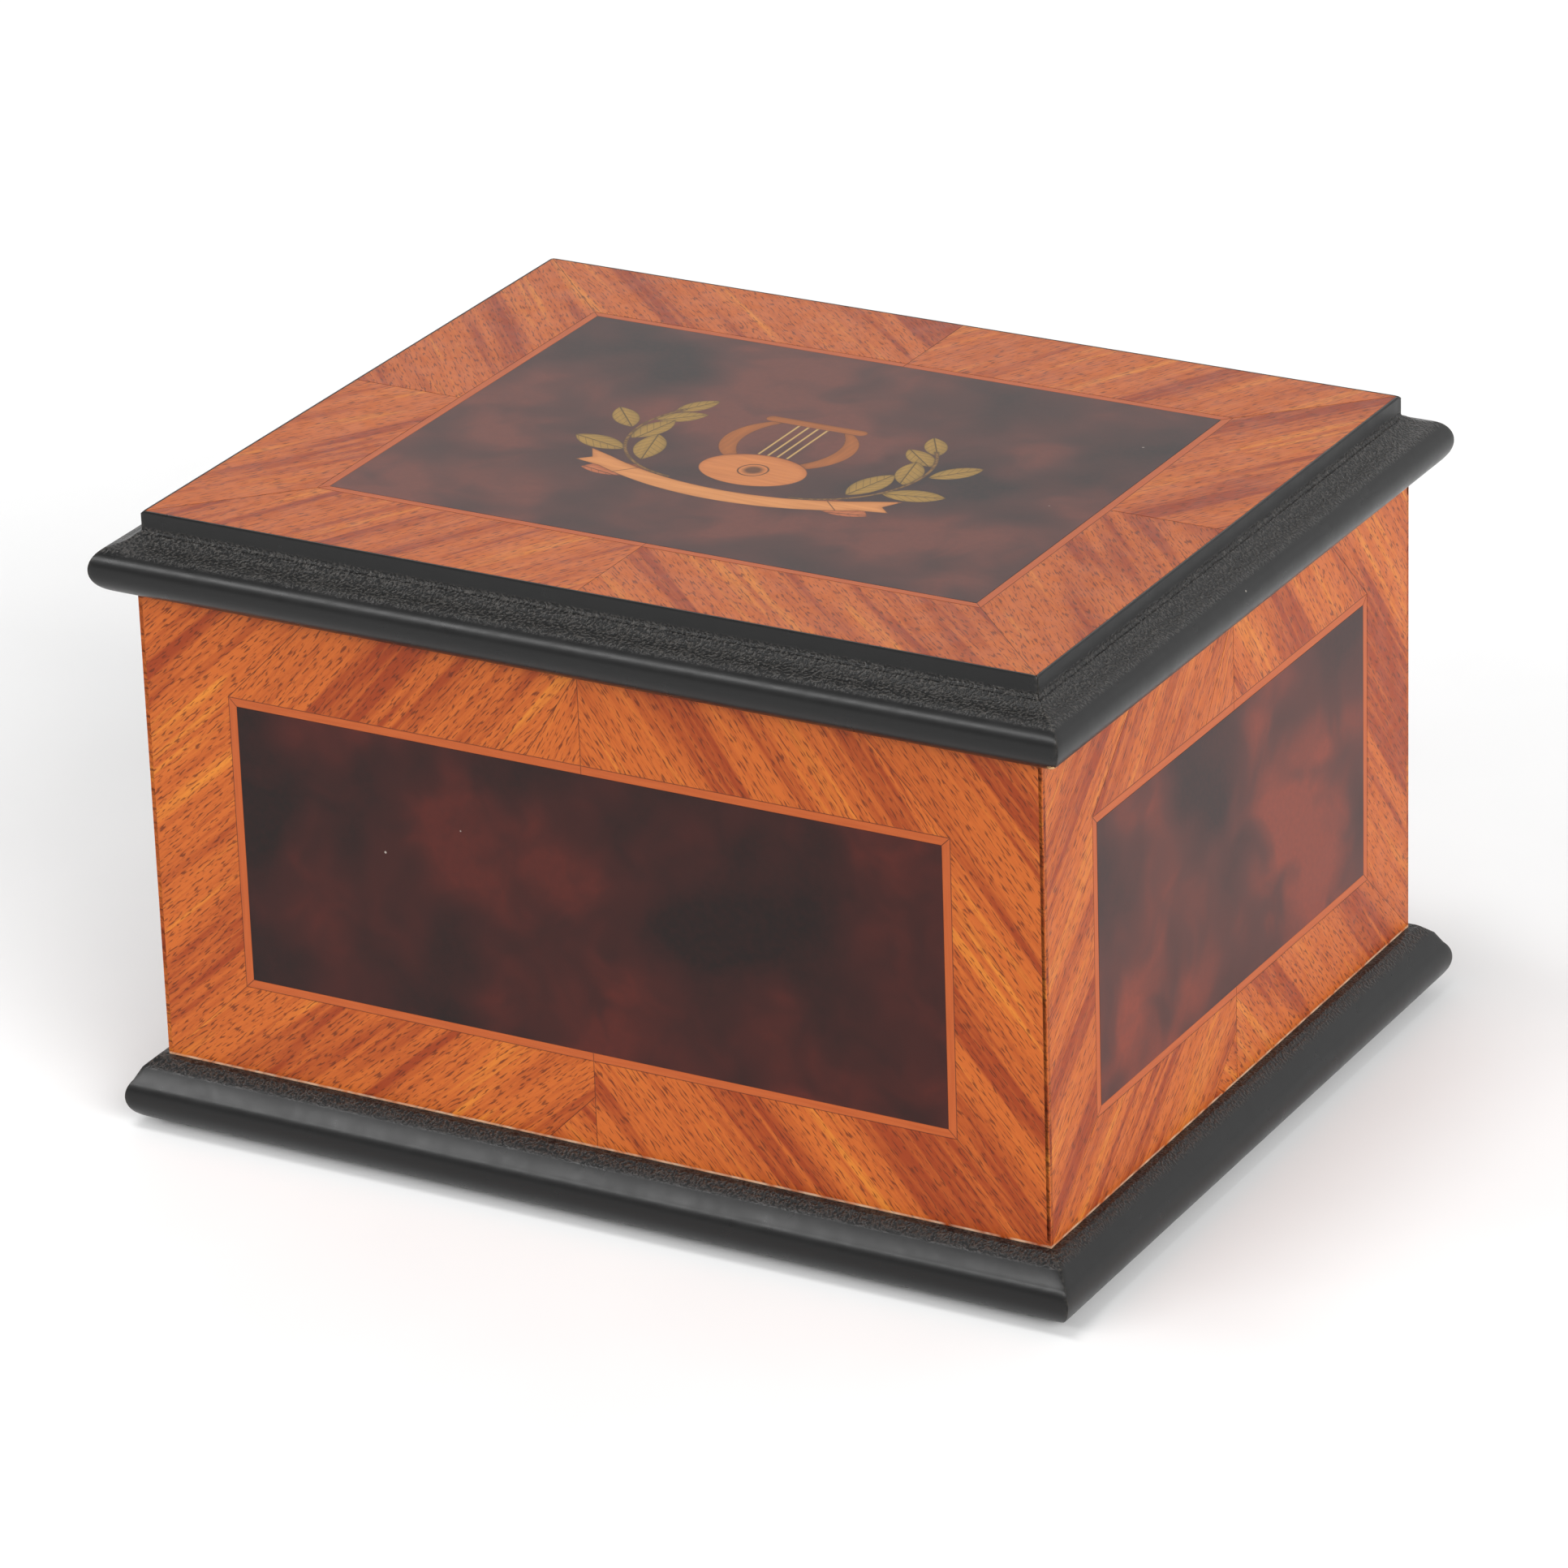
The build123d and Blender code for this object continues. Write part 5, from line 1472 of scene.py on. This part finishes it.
def main_axis(points):
    """The centre of some 2D points and the angle of their longest direction."""
    centre = sum(points, Vector((0, 0))) / len(points)
    xx = sum((p.x - centre.x) ** 2 for p in points)
    yy = sum((p.y - centre.y) ** 2 for p in points)
    xy = sum((p.x - centre.x) * (p.y - centre.y) for p in points)
    return centre, 0.5 * math.atan2(2 * xy, xx - yy)


def distance_to_outline(point, outline):
    best = 1.0
    for a, b in zip(outline, outline[1:] + outline[:1]):
        along = b - a
        span = along.length_squared
        t = 0 if span == 0 else max(0, min(1, (point - a).dot(along) / span))
        best = min(best, (point - (a + along * t)).length)
    return best


def even_triangles(outline, step):
    """Triangles of an even size inside an outline, as 2D places and their corners."""
    rim = []
    for a, b in zip(outline, outline[1:] + outline[:1]):
        parts = max(1, round((b - a).length / step))
        rim += [a + (b - a) * i / parts for i in range(parts)]
    low = Vector([min(p[i] for p in rim) for i in range(2)])
    high = Vector([max(p[i] for p in rim) for i in range(2)])
    columns, rows = (int(x / step) + 1 for x in high - low)
    spots = list(rim)
    for i in range(columns):
        for j in range(rows):
            spot = low + Vector((i + 0.5, j + 0.5)) * step
            if distance_to_outline(spot, outline) > 0.4 * step:
                spots.append(spot)
    scaled = [p / MM for p in spots]
    made = delaunay_2d_cdt(scaled, [], [list(range(len(rim)))], 1, 1e-5)
    return [p * MM for p in made[0]], made[2]


def marquetry_mesh(name, outline, low, high):
    """A flat marquetry piece on a fine mesh, which tells how near its edge each point is."""
    centre, axis = main_axis(outline)
    places, triangles = even_triangles(outline, 0.35 * MM)
    bm = bmesh.new()
    shade = bm.verts.layers.float.new("shade")
    edge = bm.verts.layers.float.new("edge")
    uv = bm.loops.layers.uv.new("grain")
    turned = []
    for p in places:
        away = p - centre
        turned.append(
            (
                away.x * math.cos(axis) + away.y * math.sin(axis),
                -away.x * math.sin(axis) + away.y * math.cos(axis),
            )
        )
    half_width = max(abs(v) for u, v in turned)
    corners = {}
    for index in {i for triangle in triangles for i in triangle}:
        p = places[index]
        vertex = bm.verts.new((p.x, p.y, high))
        vertex[edge] = distance_to_outline(p, outline)
        one_side = 0.5 + 0.5 * turned[index][1] / half_width
        vertex[shade] = max(0.0, 1 - vertex[edge] / (0.9 * MM)) * one_side
        corners[index] = vertex
    for triangle in triangles:
        face = bm.faces.new([corners[i] for i in triangle])
        for loop, index in zip(face.loops, triangle):
            loop[uv].uv = turned[index]
    solid = bmesh.ops.extrude_face_region(bm, geom=list(bm.faces))
    for item in solid["geom"]:
        if isinstance(item, bmesh.types.BMVert):
            item.co.z = low
    bmesh.ops.recalc_face_normals(bm, faces=bm.faces)
    mesh = bpy.data.meshes.new(name)
    bm.to_mesh(mesh)
    bm.free()
    return mesh


def marquetry_kind(outline):
    """Which part of the picture an outline is, from its place and size on the lid."""
    xs = [p.x / MM for p in outline]
    ys = [p.y / MM for p in outline]
    width, height = max(xs) - min(xs), max(ys) - min(ys)
    middle_x = abs(max(xs) + min(xs)) / 2
    if width > 40:
        return "ribbon"
    if width < 0.6:
        return "string"
    if middle_x < 0.5:
        return "yoke" if height < 3 else "bowl"
    if middle_x < 9.5:
        return "horn"
    return "stem" if height > 11 else "leaf"


# Linings


def cushion_mesh(low, high, crown, draw_in, across, seed, flat_side, rim=0.0):
    """A padded panel: a crowned face, soft edges drawn in and a flat back.

    across names the two axes of the panel, and flat_side is the end of the third
    axis, -1 or 1, where it is glued down. rim is the share of its depth at its edge."""
    a, b = across
    c = 3 - a - b
    steps_a, steps_b = 64, 64
    size_a, size_b = high[a] - low[a], high[b] - low[b]
    back = low[c] if flat_side < 0 else high[c]
    front = high[c] if flat_side < 0 else low[c]
    depth = front - back
    edge = 2.2 * MM
    bm = bmesh.new()
    grid = []
    for i in range(steps_a + 1):
        row = []
        for j in range(steps_b + 1):
            s = 0.5 - 0.5 * math.cos(math.pi * i / steps_a)
            t = 0.5 - 0.5 * math.cos(math.pi * j / steps_b)
            to_edge_a = min(s, 1 - s) * size_a
            to_edge_b = min(t, 1 - t) * size_b
            roll_a = min(1, to_edge_a / edge)
            roll_b = min(1, to_edge_b / edge)
            roll = math.sqrt(max(0, 1 - (1 - roll_a) ** 2)) * math.sqrt(
                max(0, 1 - (1 - roll_b) ** 2)
            )
            dome = 4 * s * (1 - s) * 4 * t * (1 - t)
            pull_a = draw_in * math.sin(math.pi * t) * (1 - roll_a)
            pull_b = draw_in * math.sin(math.pi * s) * (1 - roll_b)
            point = Vector((0, 0, 0))
            point[a] = low[a] + s * size_a + (pull_a if s < 0.5 else -pull_a)
            point[b] = low[b] + t * size_b + (pull_b if t < 0.5 else -pull_b)
            ripple = noise.noise(Vector((point[a] * 90 + seed, point[b] * 90, seed))) * 0.12
            height = (1 - crown) + crown * dome + ripple * crown
            point[c] = back + depth * min(1.0, (rim + (1 - rim) * roll) * height)
            row.append(bm.verts.new(point))
        grid.append(row)
    for i in range(steps_a):
        for j in range(steps_b):
            bm.faces.new((grid[i][j], grid[i + 1][j], grid[i + 1][j + 1], grid[i][j + 1]))
    close_back(bm, c, back)
    mesh = bpy.data.meshes.new("padding")
    bm.to_mesh(mesh)
    bm.free()
    return mesh


def close_back(bm, axis, back):
    """Closes an open grid with a flat back just behind its rim."""
    rim = [e for e in bm.edges if e.is_boundary]
    made = bmesh.ops.extrude_edge_only(bm, edges=rim)
    for item in made["geom"]:
        if isinstance(item, bmesh.types.BMVert):
            item.co[axis] = back
    far = [e for e in bm.edges if e.is_boundary]
    bmesh.ops.contextual_create(bm, geom=far)
    bmesh.ops.remove_doubles(bm, verts=bm.verts, dist=1e-7)
    bmesh.ops.recalc_face_normals(bm, faces=bm.faces)


def padded_piece(name, mesh, node):
    mesh.name = name
    for polygon in mesh.polygons:
        polygon.use_smooth = True
    piece = finish_piece(
        name, mesh, BODY_OF[node], FINISHES["velvet"], [node]
    )
    return piece


# Operators


class MUSICBOX_OT_stage(bpy.types.Operator):
    """Camera, lights and a pale floor"""

    bl_idname = "musicbox.stage"
    bl_label = "Stage"

    def execute(self, context):
        make_camera()
        make_floor()
        make_lights()
        return {"FINISHED"}


# The camera, found from the corners of the walls and panels in the photograph
CAMERA_AZIMUTH = 29.738
CAMERA_ELEVATION = 23.748
CAMERA_ROLL = -1.924
CAMERA_FOCAL_PIXELS = 9774.65
PHOTO_PIXELS = 1932
CAMERA_PLACE = (3.62889, -6.36266, 3.45190)  # in lengths of the front wall


def make_camera():
    data = bpy.data.cameras.new("camera")
    data.sensor_width = 36.0
    data.lens = CAMERA_FOCAL_PIXELS / PHOTO_PIXELS * data.sensor_width
    data.clip_start, data.clip_end = 0.05, 20
    camera = bpy.data.objects.new("camera", data)
    bpy.context.scene.collection.objects.link(camera)
    wall = 2 * wall_plane()[0]
    a, e, r = (
        math.radians(x) for x in (CAMERA_AZIMUTH, CAMERA_ELEVATION, CAMERA_ROLL)
    )
    back = Vector((math.sin(a) * math.cos(e), -math.cos(a) * math.cos(e), math.sin(e)))
    right = Vector((math.cos(a), math.sin(a), 0))
    up = back.cross(right)
    turned_right = right * math.cos(r) + up * math.sin(r)
    turned_up = -right * math.sin(r) + up * math.cos(r)
    rotation = Matrix((turned_right, turned_up, back)).transposed()
    base_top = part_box("base_moulding_front")[1].z
    place = Vector(CAMERA_PLACE) * wall + Vector((0, 0, base_top))
    camera.matrix_world = Matrix.Translation(place) @ rotation.to_4x4()
    bpy.context.scene.camera = camera


def make_floor():
    """A pale floor that curves up into a backdrop far behind."""
    bm = bmesh.new()
    profile = [(-6.0, 0.0), (6.0, 0.0)]
    profile += [(6.0 + 2 * math.sin(a), 2 - 2 * math.cos(a)) for a in (0.4, 0.8, 1.2, 1.57)]
    profile.append((8.0, 8.0))
    rows = [[bm.verts.new((x, y, z)) for x in (-9, 9)] for y, z in profile]
    for lower, upper in zip(rows, rows[1:]):
        bm.faces.new((lower[0], lower[1], upper[1], upper[0]))
    mesh = bpy.data.meshes.new("floor")
    bm.to_mesh(mesh)
    bm.free()
    floor = bpy.data.objects.new("floor", mesh)
    bpy.context.scene.collection.objects.link(floor)
    material, tree, shader = new_material("white_paper_sweep")
    tone = speckle(tree, object_place(tree), 30.0, 0.3, 0.7)
    paper = blend_colour(
        tree, tone, rgba(linear("#DCDCDC")), rgba(linear("#DEDEDE"))
    )
    set_shader(tree, shader, {"Base Color": paper, "Roughness": 0.8})
    mesh.materials.append(material)


def towards(azimuth, elevation):
    """The direction to a lamp, from degrees right of the front and above the floor."""
    a, e = math.radians(azimuth), math.radians(elevation)
    return Vector((math.sin(a) * math.cos(e), -math.cos(a) * math.cos(e), math.sin(e)))


# Metres from the box to each softbox
LAMP_DISTANCE = 2.5


def make_lamp(name, kind, azimuth, elevation, energy):
    data = bpy.data.lights.new(name, kind)
    data.energy = energy
    lamp = bpy.data.objects.new(name, data)
    bpy.context.scene.collection.objects.link(lamp)
    lamp.location = towards(azimuth, elevation) * LAMP_DISTANCE
    lamp.rotation_euler = towards(azimuth, elevation).to_track_quat("Z", "Y").to_euler()
    return data


def make_lights():
    """A white tent, a broad low light from the front right and two softboxes.

    The softboxes show as soft lines along the noses of the mouldings."""
    world = bpy.data.worlds.new("studio")
    world.use_nodes = True
    sky = world.node_tree.nodes["Background"]
    sky.inputs[0].default_value = rgba(linear("#FFFFFF"))
    sky.inputs[1].default_value = 0.52
    bpy.context.scene.world = world
    key = make_lamp("front_right", "SUN", 57, 18, 4.6)
    key.angle = math.radians(50)
    for name, azimuth, elevation, width, height, power in (
        ("front_left", -30, 32, 1.75, 0.33, 19),
        ("overhead", -30, 78, 1.25, 0.4, 23),
    ):
        box = make_lamp(name, "AREA", azimuth, elevation, power)
        box.shape = "RECTANGLE"
        box.size, box.size_y = width, height
    bpy.context.scene.view_settings.view_transform = "Standard"


class MUSICBOX_OT_materials(bpy.types.Operator):
    """Every finish of the box"""

    bl_idname = "musicbox.materials"
    bl_label = "Finishes"

    def execute(self, context):
        FINISHES.update(make_materials())
        return {"FINISHED"}


class MUSICBOX_OT_mouldings(bpy.types.Operator):
    """Black mitred mouldings of the base and the lid"""

    bl_idname = "musicbox.mouldings"
    bl_label = "Mouldings"

    def execute(self, context):
        tree = mitred_bar_tree()
        sections = {"base_moulding_": base_section(), "lid_moulding_": lid_section()}
        for prefix, points in sections.items():
            for side in SIDES:
                node = prefix + side
                mesh = moulding_mesh(tree, side, points)
                if node == "lid_moulding_back":
                    mesh = cut_notches(mesh)
                mesh.name = node + "_made"
                shade_by_angle(mesh, 28)
                finish_piece(
                    node + "_made",
                    mesh,
                    BODY_OF[node],
                    FINISHES["lacquer"],
                    [node],
                )
        return {"FINISHED"}


class MUSICBOX_OT_wall_veneers(bpy.types.Operator):
    """Crossband and stringing of the four walls"""

    bl_idname = "musicbox.wall_veneers"
    bl_label = "Wall veneers"

    def execute(self, context):
        lines = []
        for seed, side in enumerate(SIDES, 40):
            place = side_place(side)
            outer = side_rectangle("crossband_", side)
            panel = side_rectangle("burl_panel_", side)
            inner = grown(panel, sizes().stringing)
            depth = veneer_depth("burl_panel_" + side)
            node = "crossband_" + side
            ends = (outer[0], outer[2])
            strips = wall_strips(outer, inner)
            band = veneer_mesh(node + "_made", strips, depth, place, seed, ends)
            finish_piece(
                node + "_made",
                band,
                BODY_OF[node],
                FINISHES["crossband"],
                [node],
            )
            string = veneer_mesh("string", frame_strips(inner, panel), depth, place, seed + 9)
            lines.append(string)
            burl = NODES["burl_panel_" + side]
            burl.data.materials.clear()
            finish = "burl_dark" if side in ("front", "back") else "burl_red"
            burl.data.materials.append(FINISHES[finish])
        node = "wall_stringing"
        finish_piece(
            node + "_made",
            joined(lines, node + "_made"),
            BODY_OF[node],
            FINISHES["stringing"],
            [node],
        )
        return {"FINISHED"}


def joined(meshes, name):
    """Several meshes as one."""
    bm = bmesh.new()
    for mesh in meshes:
        bm.from_mesh(mesh)
        bpy.data.meshes.remove(mesh)
    mesh = bpy.data.meshes.new(name)
    bm.to_mesh(mesh)
    bm.free()
    return mesh


class MUSICBOX_OT_lid_veneers(bpy.types.Operator):
    """Crossband, stringing and burl on top of the lid"""

    bl_idname = "musicbox.lid_veneers"
    bl_label = "Lid veneers"

    def execute(self, context):
        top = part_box("lid_crossband")[1].z
        place = Matrix.Translation((0, 0, top))
        outer = lid_rectangle("lid_crossband")
        panel = lid_rectangle("lid_burl_panel")
        inner = grown(panel, sizes().stringing)
        depth = veneer_depth("lid_burl_panel")
        for node, strips, finish, seed in (
            ("lid_crossband", lid_strips(outer, inner), "crossband", 21),
            ("lid_stringing", frame_strips(inner, panel), "stringing", 22),
        ):
            mesh = veneer_mesh(node + "_made", strips, depth, place, seed)
            finish_piece(
                node + "_made",
                mesh,
                BODY_OF[node],
                FINISHES[finish],
                [node],
            )
        burl = NODES["lid_burl_panel"]
        burl.data.materials.clear()
        burl.data.materials.append(FINISHES["burl_lid"])
        return {"FINISHED"}


class MUSICBOX_OT_marquetry(bpy.types.Operator):
    """The lyre, its leafy sprays and the blank ribbon"""

    bl_idname = "musicbox.marquetry"
    bl_label = "Marquetry"

    def execute(self, context):
        node = "lid_inlay"
        finish_of = {
            "ribbon": "ribbon",
            "string": "string",
            "yoke": "horn",
            "bowl": "bowl",
            "horn": "horn",
            "stem": "stem",
        }
        outlines, low, high = top_outlines(node)
        outlines.sort(key=lambda outline: tuple(min(outline, key=tuple)))
        for count, outline in enumerate(outlines):
            kind = marquetry_kind(outline)
            finish = finish_of.get(kind)
            if finish is None:
                centre = main_axis(outline)[0]
                finish = "leaf_red" if centre.y < -8 * MM else "leaf"
            name = f"inlay_{kind}_{count}"
            mesh = marquetry_mesh(name, outline, low, high)
            finish_piece(
                name, mesh, BODY_OF[node], FINISHES[finish], [node]
            )
        return {"FINISHED"}


class MUSICBOX_OT_boards(bpy.types.Operator):
    """Boards of the case and the lid, the ledges and the divider"""

    bl_idname = "musicbox.boards"
    bl_label = "Boards"

    def execute(self, context):
        edge = sizes().edge
        for node in ("wall_front", "wall_back", "bottom_panel", "lid_panel"):
            dressed(node, "board_x", edge)
        for node in ("wall_left", "wall_right", "divider", "window_ledges"):
            dressed(node, "board_y", edge)
        dressed("felt_feet", "felt", edge)
        dressed("movement_window", "acrylic", edge)
        return {"FINISHED"}


class MUSICBOX_OT_linings(bpy.types.Operator):
    """Velvet pads of the compartment and the lid"""

    bl_idname = "musicbox.linings"
    bl_label = "Linings"

    def execute(self, context):
        low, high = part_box("lining_floor")
        floor_pad = cushion_mesh(low, high, 0.2, 0, (0, 1), 3.0, -1, 0.9)
        padded_piece("lining_floor_made", floor_pad, "lining_floor")
        low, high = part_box("lid_lining")
        lid_pad = cushion_mesh(low, high, 0.3, 0.2 * MM, (0, 1), 7.0, 1)
        padded_piece("lid_lining_made", lid_pad, "lid_lining")
        pads = []
        for seed, (low, high, across, flat) in enumerate(side_pads()):
            pads.append(cushion_mesh(low, high, 0.2, 0, across, 11.0 + seed, flat, 0.7))
        padded_piece("lining_sides_made", joined(pads, "sides"), "lining_sides")
        return {"FINISHED"}


def side_pads():
    """The corners, axes and glued side of the four pads round the compartment."""
    node = "lining_sides"
    low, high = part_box(node)
    levels = sorted({round(v.co.x, 5) for v in NODES[node].data.vertices})
    thick = levels[1] - levels[0]
    pads = []
    for glued, side in ((-1, low.x), (1, high.x - thick)):
        start = Vector((side, low.y, low.z))
        pads.append((start, Vector((side + thick, high.y, high.z)), (1, 2), glued))
    for glued, side in ((-1, low.y), (1, high.y - thick)):
        start = Vector((low.x + thick, side, low.z))
        end = Vector((high.x - thick, side + thick, high.z))
        pads.append((start, end, (0, 2), glued))
    return pads


class MUSICBOX_OT_hinges(bpy.types.Operator):
    """Brass stop hinges, their pins and all screws"""

    bl_idname = "musicbox.hinges"
    bl_label = "Hinges and screws"

    def execute(self, context):
        edge = sizes().edge
        dressed("hinge_wall_leaves", "brass", edge * 0.6)
        dressed("hinge_lid_leaves", "brass", edge * 0.6)
        dressed("hinge_pins", "turned_brass", edge)
        tree = screws_tree()
        screws_piece(tree, "hinge_wall_screws", facing_up, sunk_screw_of, "brass", 1)
        screws_piece(tree, "hinge_lid_screws", facing_down, sunk_screw_of, "brass", 2)
        screws_piece(tree, "compartment_screws", facing_by_shape, round_screw_of, "brass", 3)
        screws_piece(tree, "bedplate_screws", facing_down, round_screw_of, "steel", 4)
        screws_piece(tree, "comb_screws", facing_up, round_screw_of, "steel", 5)
        screws_piece(tree, "governor_screws", facing_up, round_screw_of, "steel", 6)
        screws_piece(tree, "click_screw", facing_up, round_screw_of, "steel", 7)
        return {"FINISHED"}


class MUSICBOX_OT_movement(bpy.types.Operator):
    """The movement, its winding key and the stop plunger"""

    bl_idname = "musicbox.movement"
    bl_label = "Movement"

    def execute(self, context):
        edge = sizes().edge
        for node, finish, bevel in (
            ("bedplate", "zinc", edge * 1.5),
            ("spring_barrel", "zinc", edge * 0.5),
            ("comb", "comb_steel", edge * 0.4),
            ("cylinder", "turned_brass", edge * 0.3),
            ("mainspring", "steel", None),
            ("winding_arbor", "steel", edge * 0.5),
            ("winding_key", "brass", edge * 1.5),
            ("click", "steel", edge * 0.5),
            ("governor_bracket", "brass", edge * 0.5),
            ("governor_wheel", "brass", edge * 0.3),
            ("governor_worm", "steel", None),
            ("air_brake_fan", "brass", edge * 0.3),
            ("stop_plunger", "steel", edge * 0.5),
            ("plunger_guide", "brass", edge * 0.8),
            ("plunger_spring", "steel", None),
        ):
            dressed(node, finish, bevel)
        return {"FINISHED"}


class MUSICBOX_PT_panel(bpy.types.Panel):
    """Lists the sizes, the colours and every operator"""

    bl_label = "Music box"
    bl_idname = "MUSICBOX_PT_panel"
    bl_space_type = "VIEW_3D"
    bl_region_type = "UI"
    bl_category = "Music box"

    def draw(self, context):
        for operator in OPERATORS:
            self.layout.operator(operator.bl_idname)
        for settings in (context.scene.music_box_sizes, context.scene.music_box_colours):
            for name in settings.__annotations__:
                self.layout.prop(settings, name)


OPERATORS = (
    MUSICBOX_OT_materials,
    MUSICBOX_OT_mouldings,
    MUSICBOX_OT_wall_veneers,
    MUSICBOX_OT_lid_veneers,
    MUSICBOX_OT_marquetry,
    MUSICBOX_OT_boards,
    MUSICBOX_OT_linings,
    MUSICBOX_OT_hinges,
    MUSICBOX_OT_movement,
    MUSICBOX_OT_stage,
)
CLASSES = (MusicBoxSizes, MusicBoxColours, *OPERATORS, MUSICBOX_PT_panel)


def register():
    for item in CLASSES:
        bpy.utils.register_class(item)
    bpy.types.Scene.music_box_sizes = bpy.props.PointerProperty(type=MusicBoxSizes)
    bpy.types.Scene.music_box_colours = bpy.props.PointerProperty(type=MusicBoxColours)


def unregister():
    del bpy.types.Scene.music_box_colours
    del bpy.types.Scene.music_box_sizes
    for item in reversed(CLASSES):
        bpy.utils.unregister_class(item)


def main():
    """Makes every piece."""
    register()
    for operator in OPERATORS:
        group, name = operator.bl_idname.split(".")
        result = getattr(getattr(bpy.ops, group), name)()
        if result != {"FINISHED"}:
            raise RuntimeError(f"{operator.bl_label} was not made")


if __name__ == "__main__":
    main()
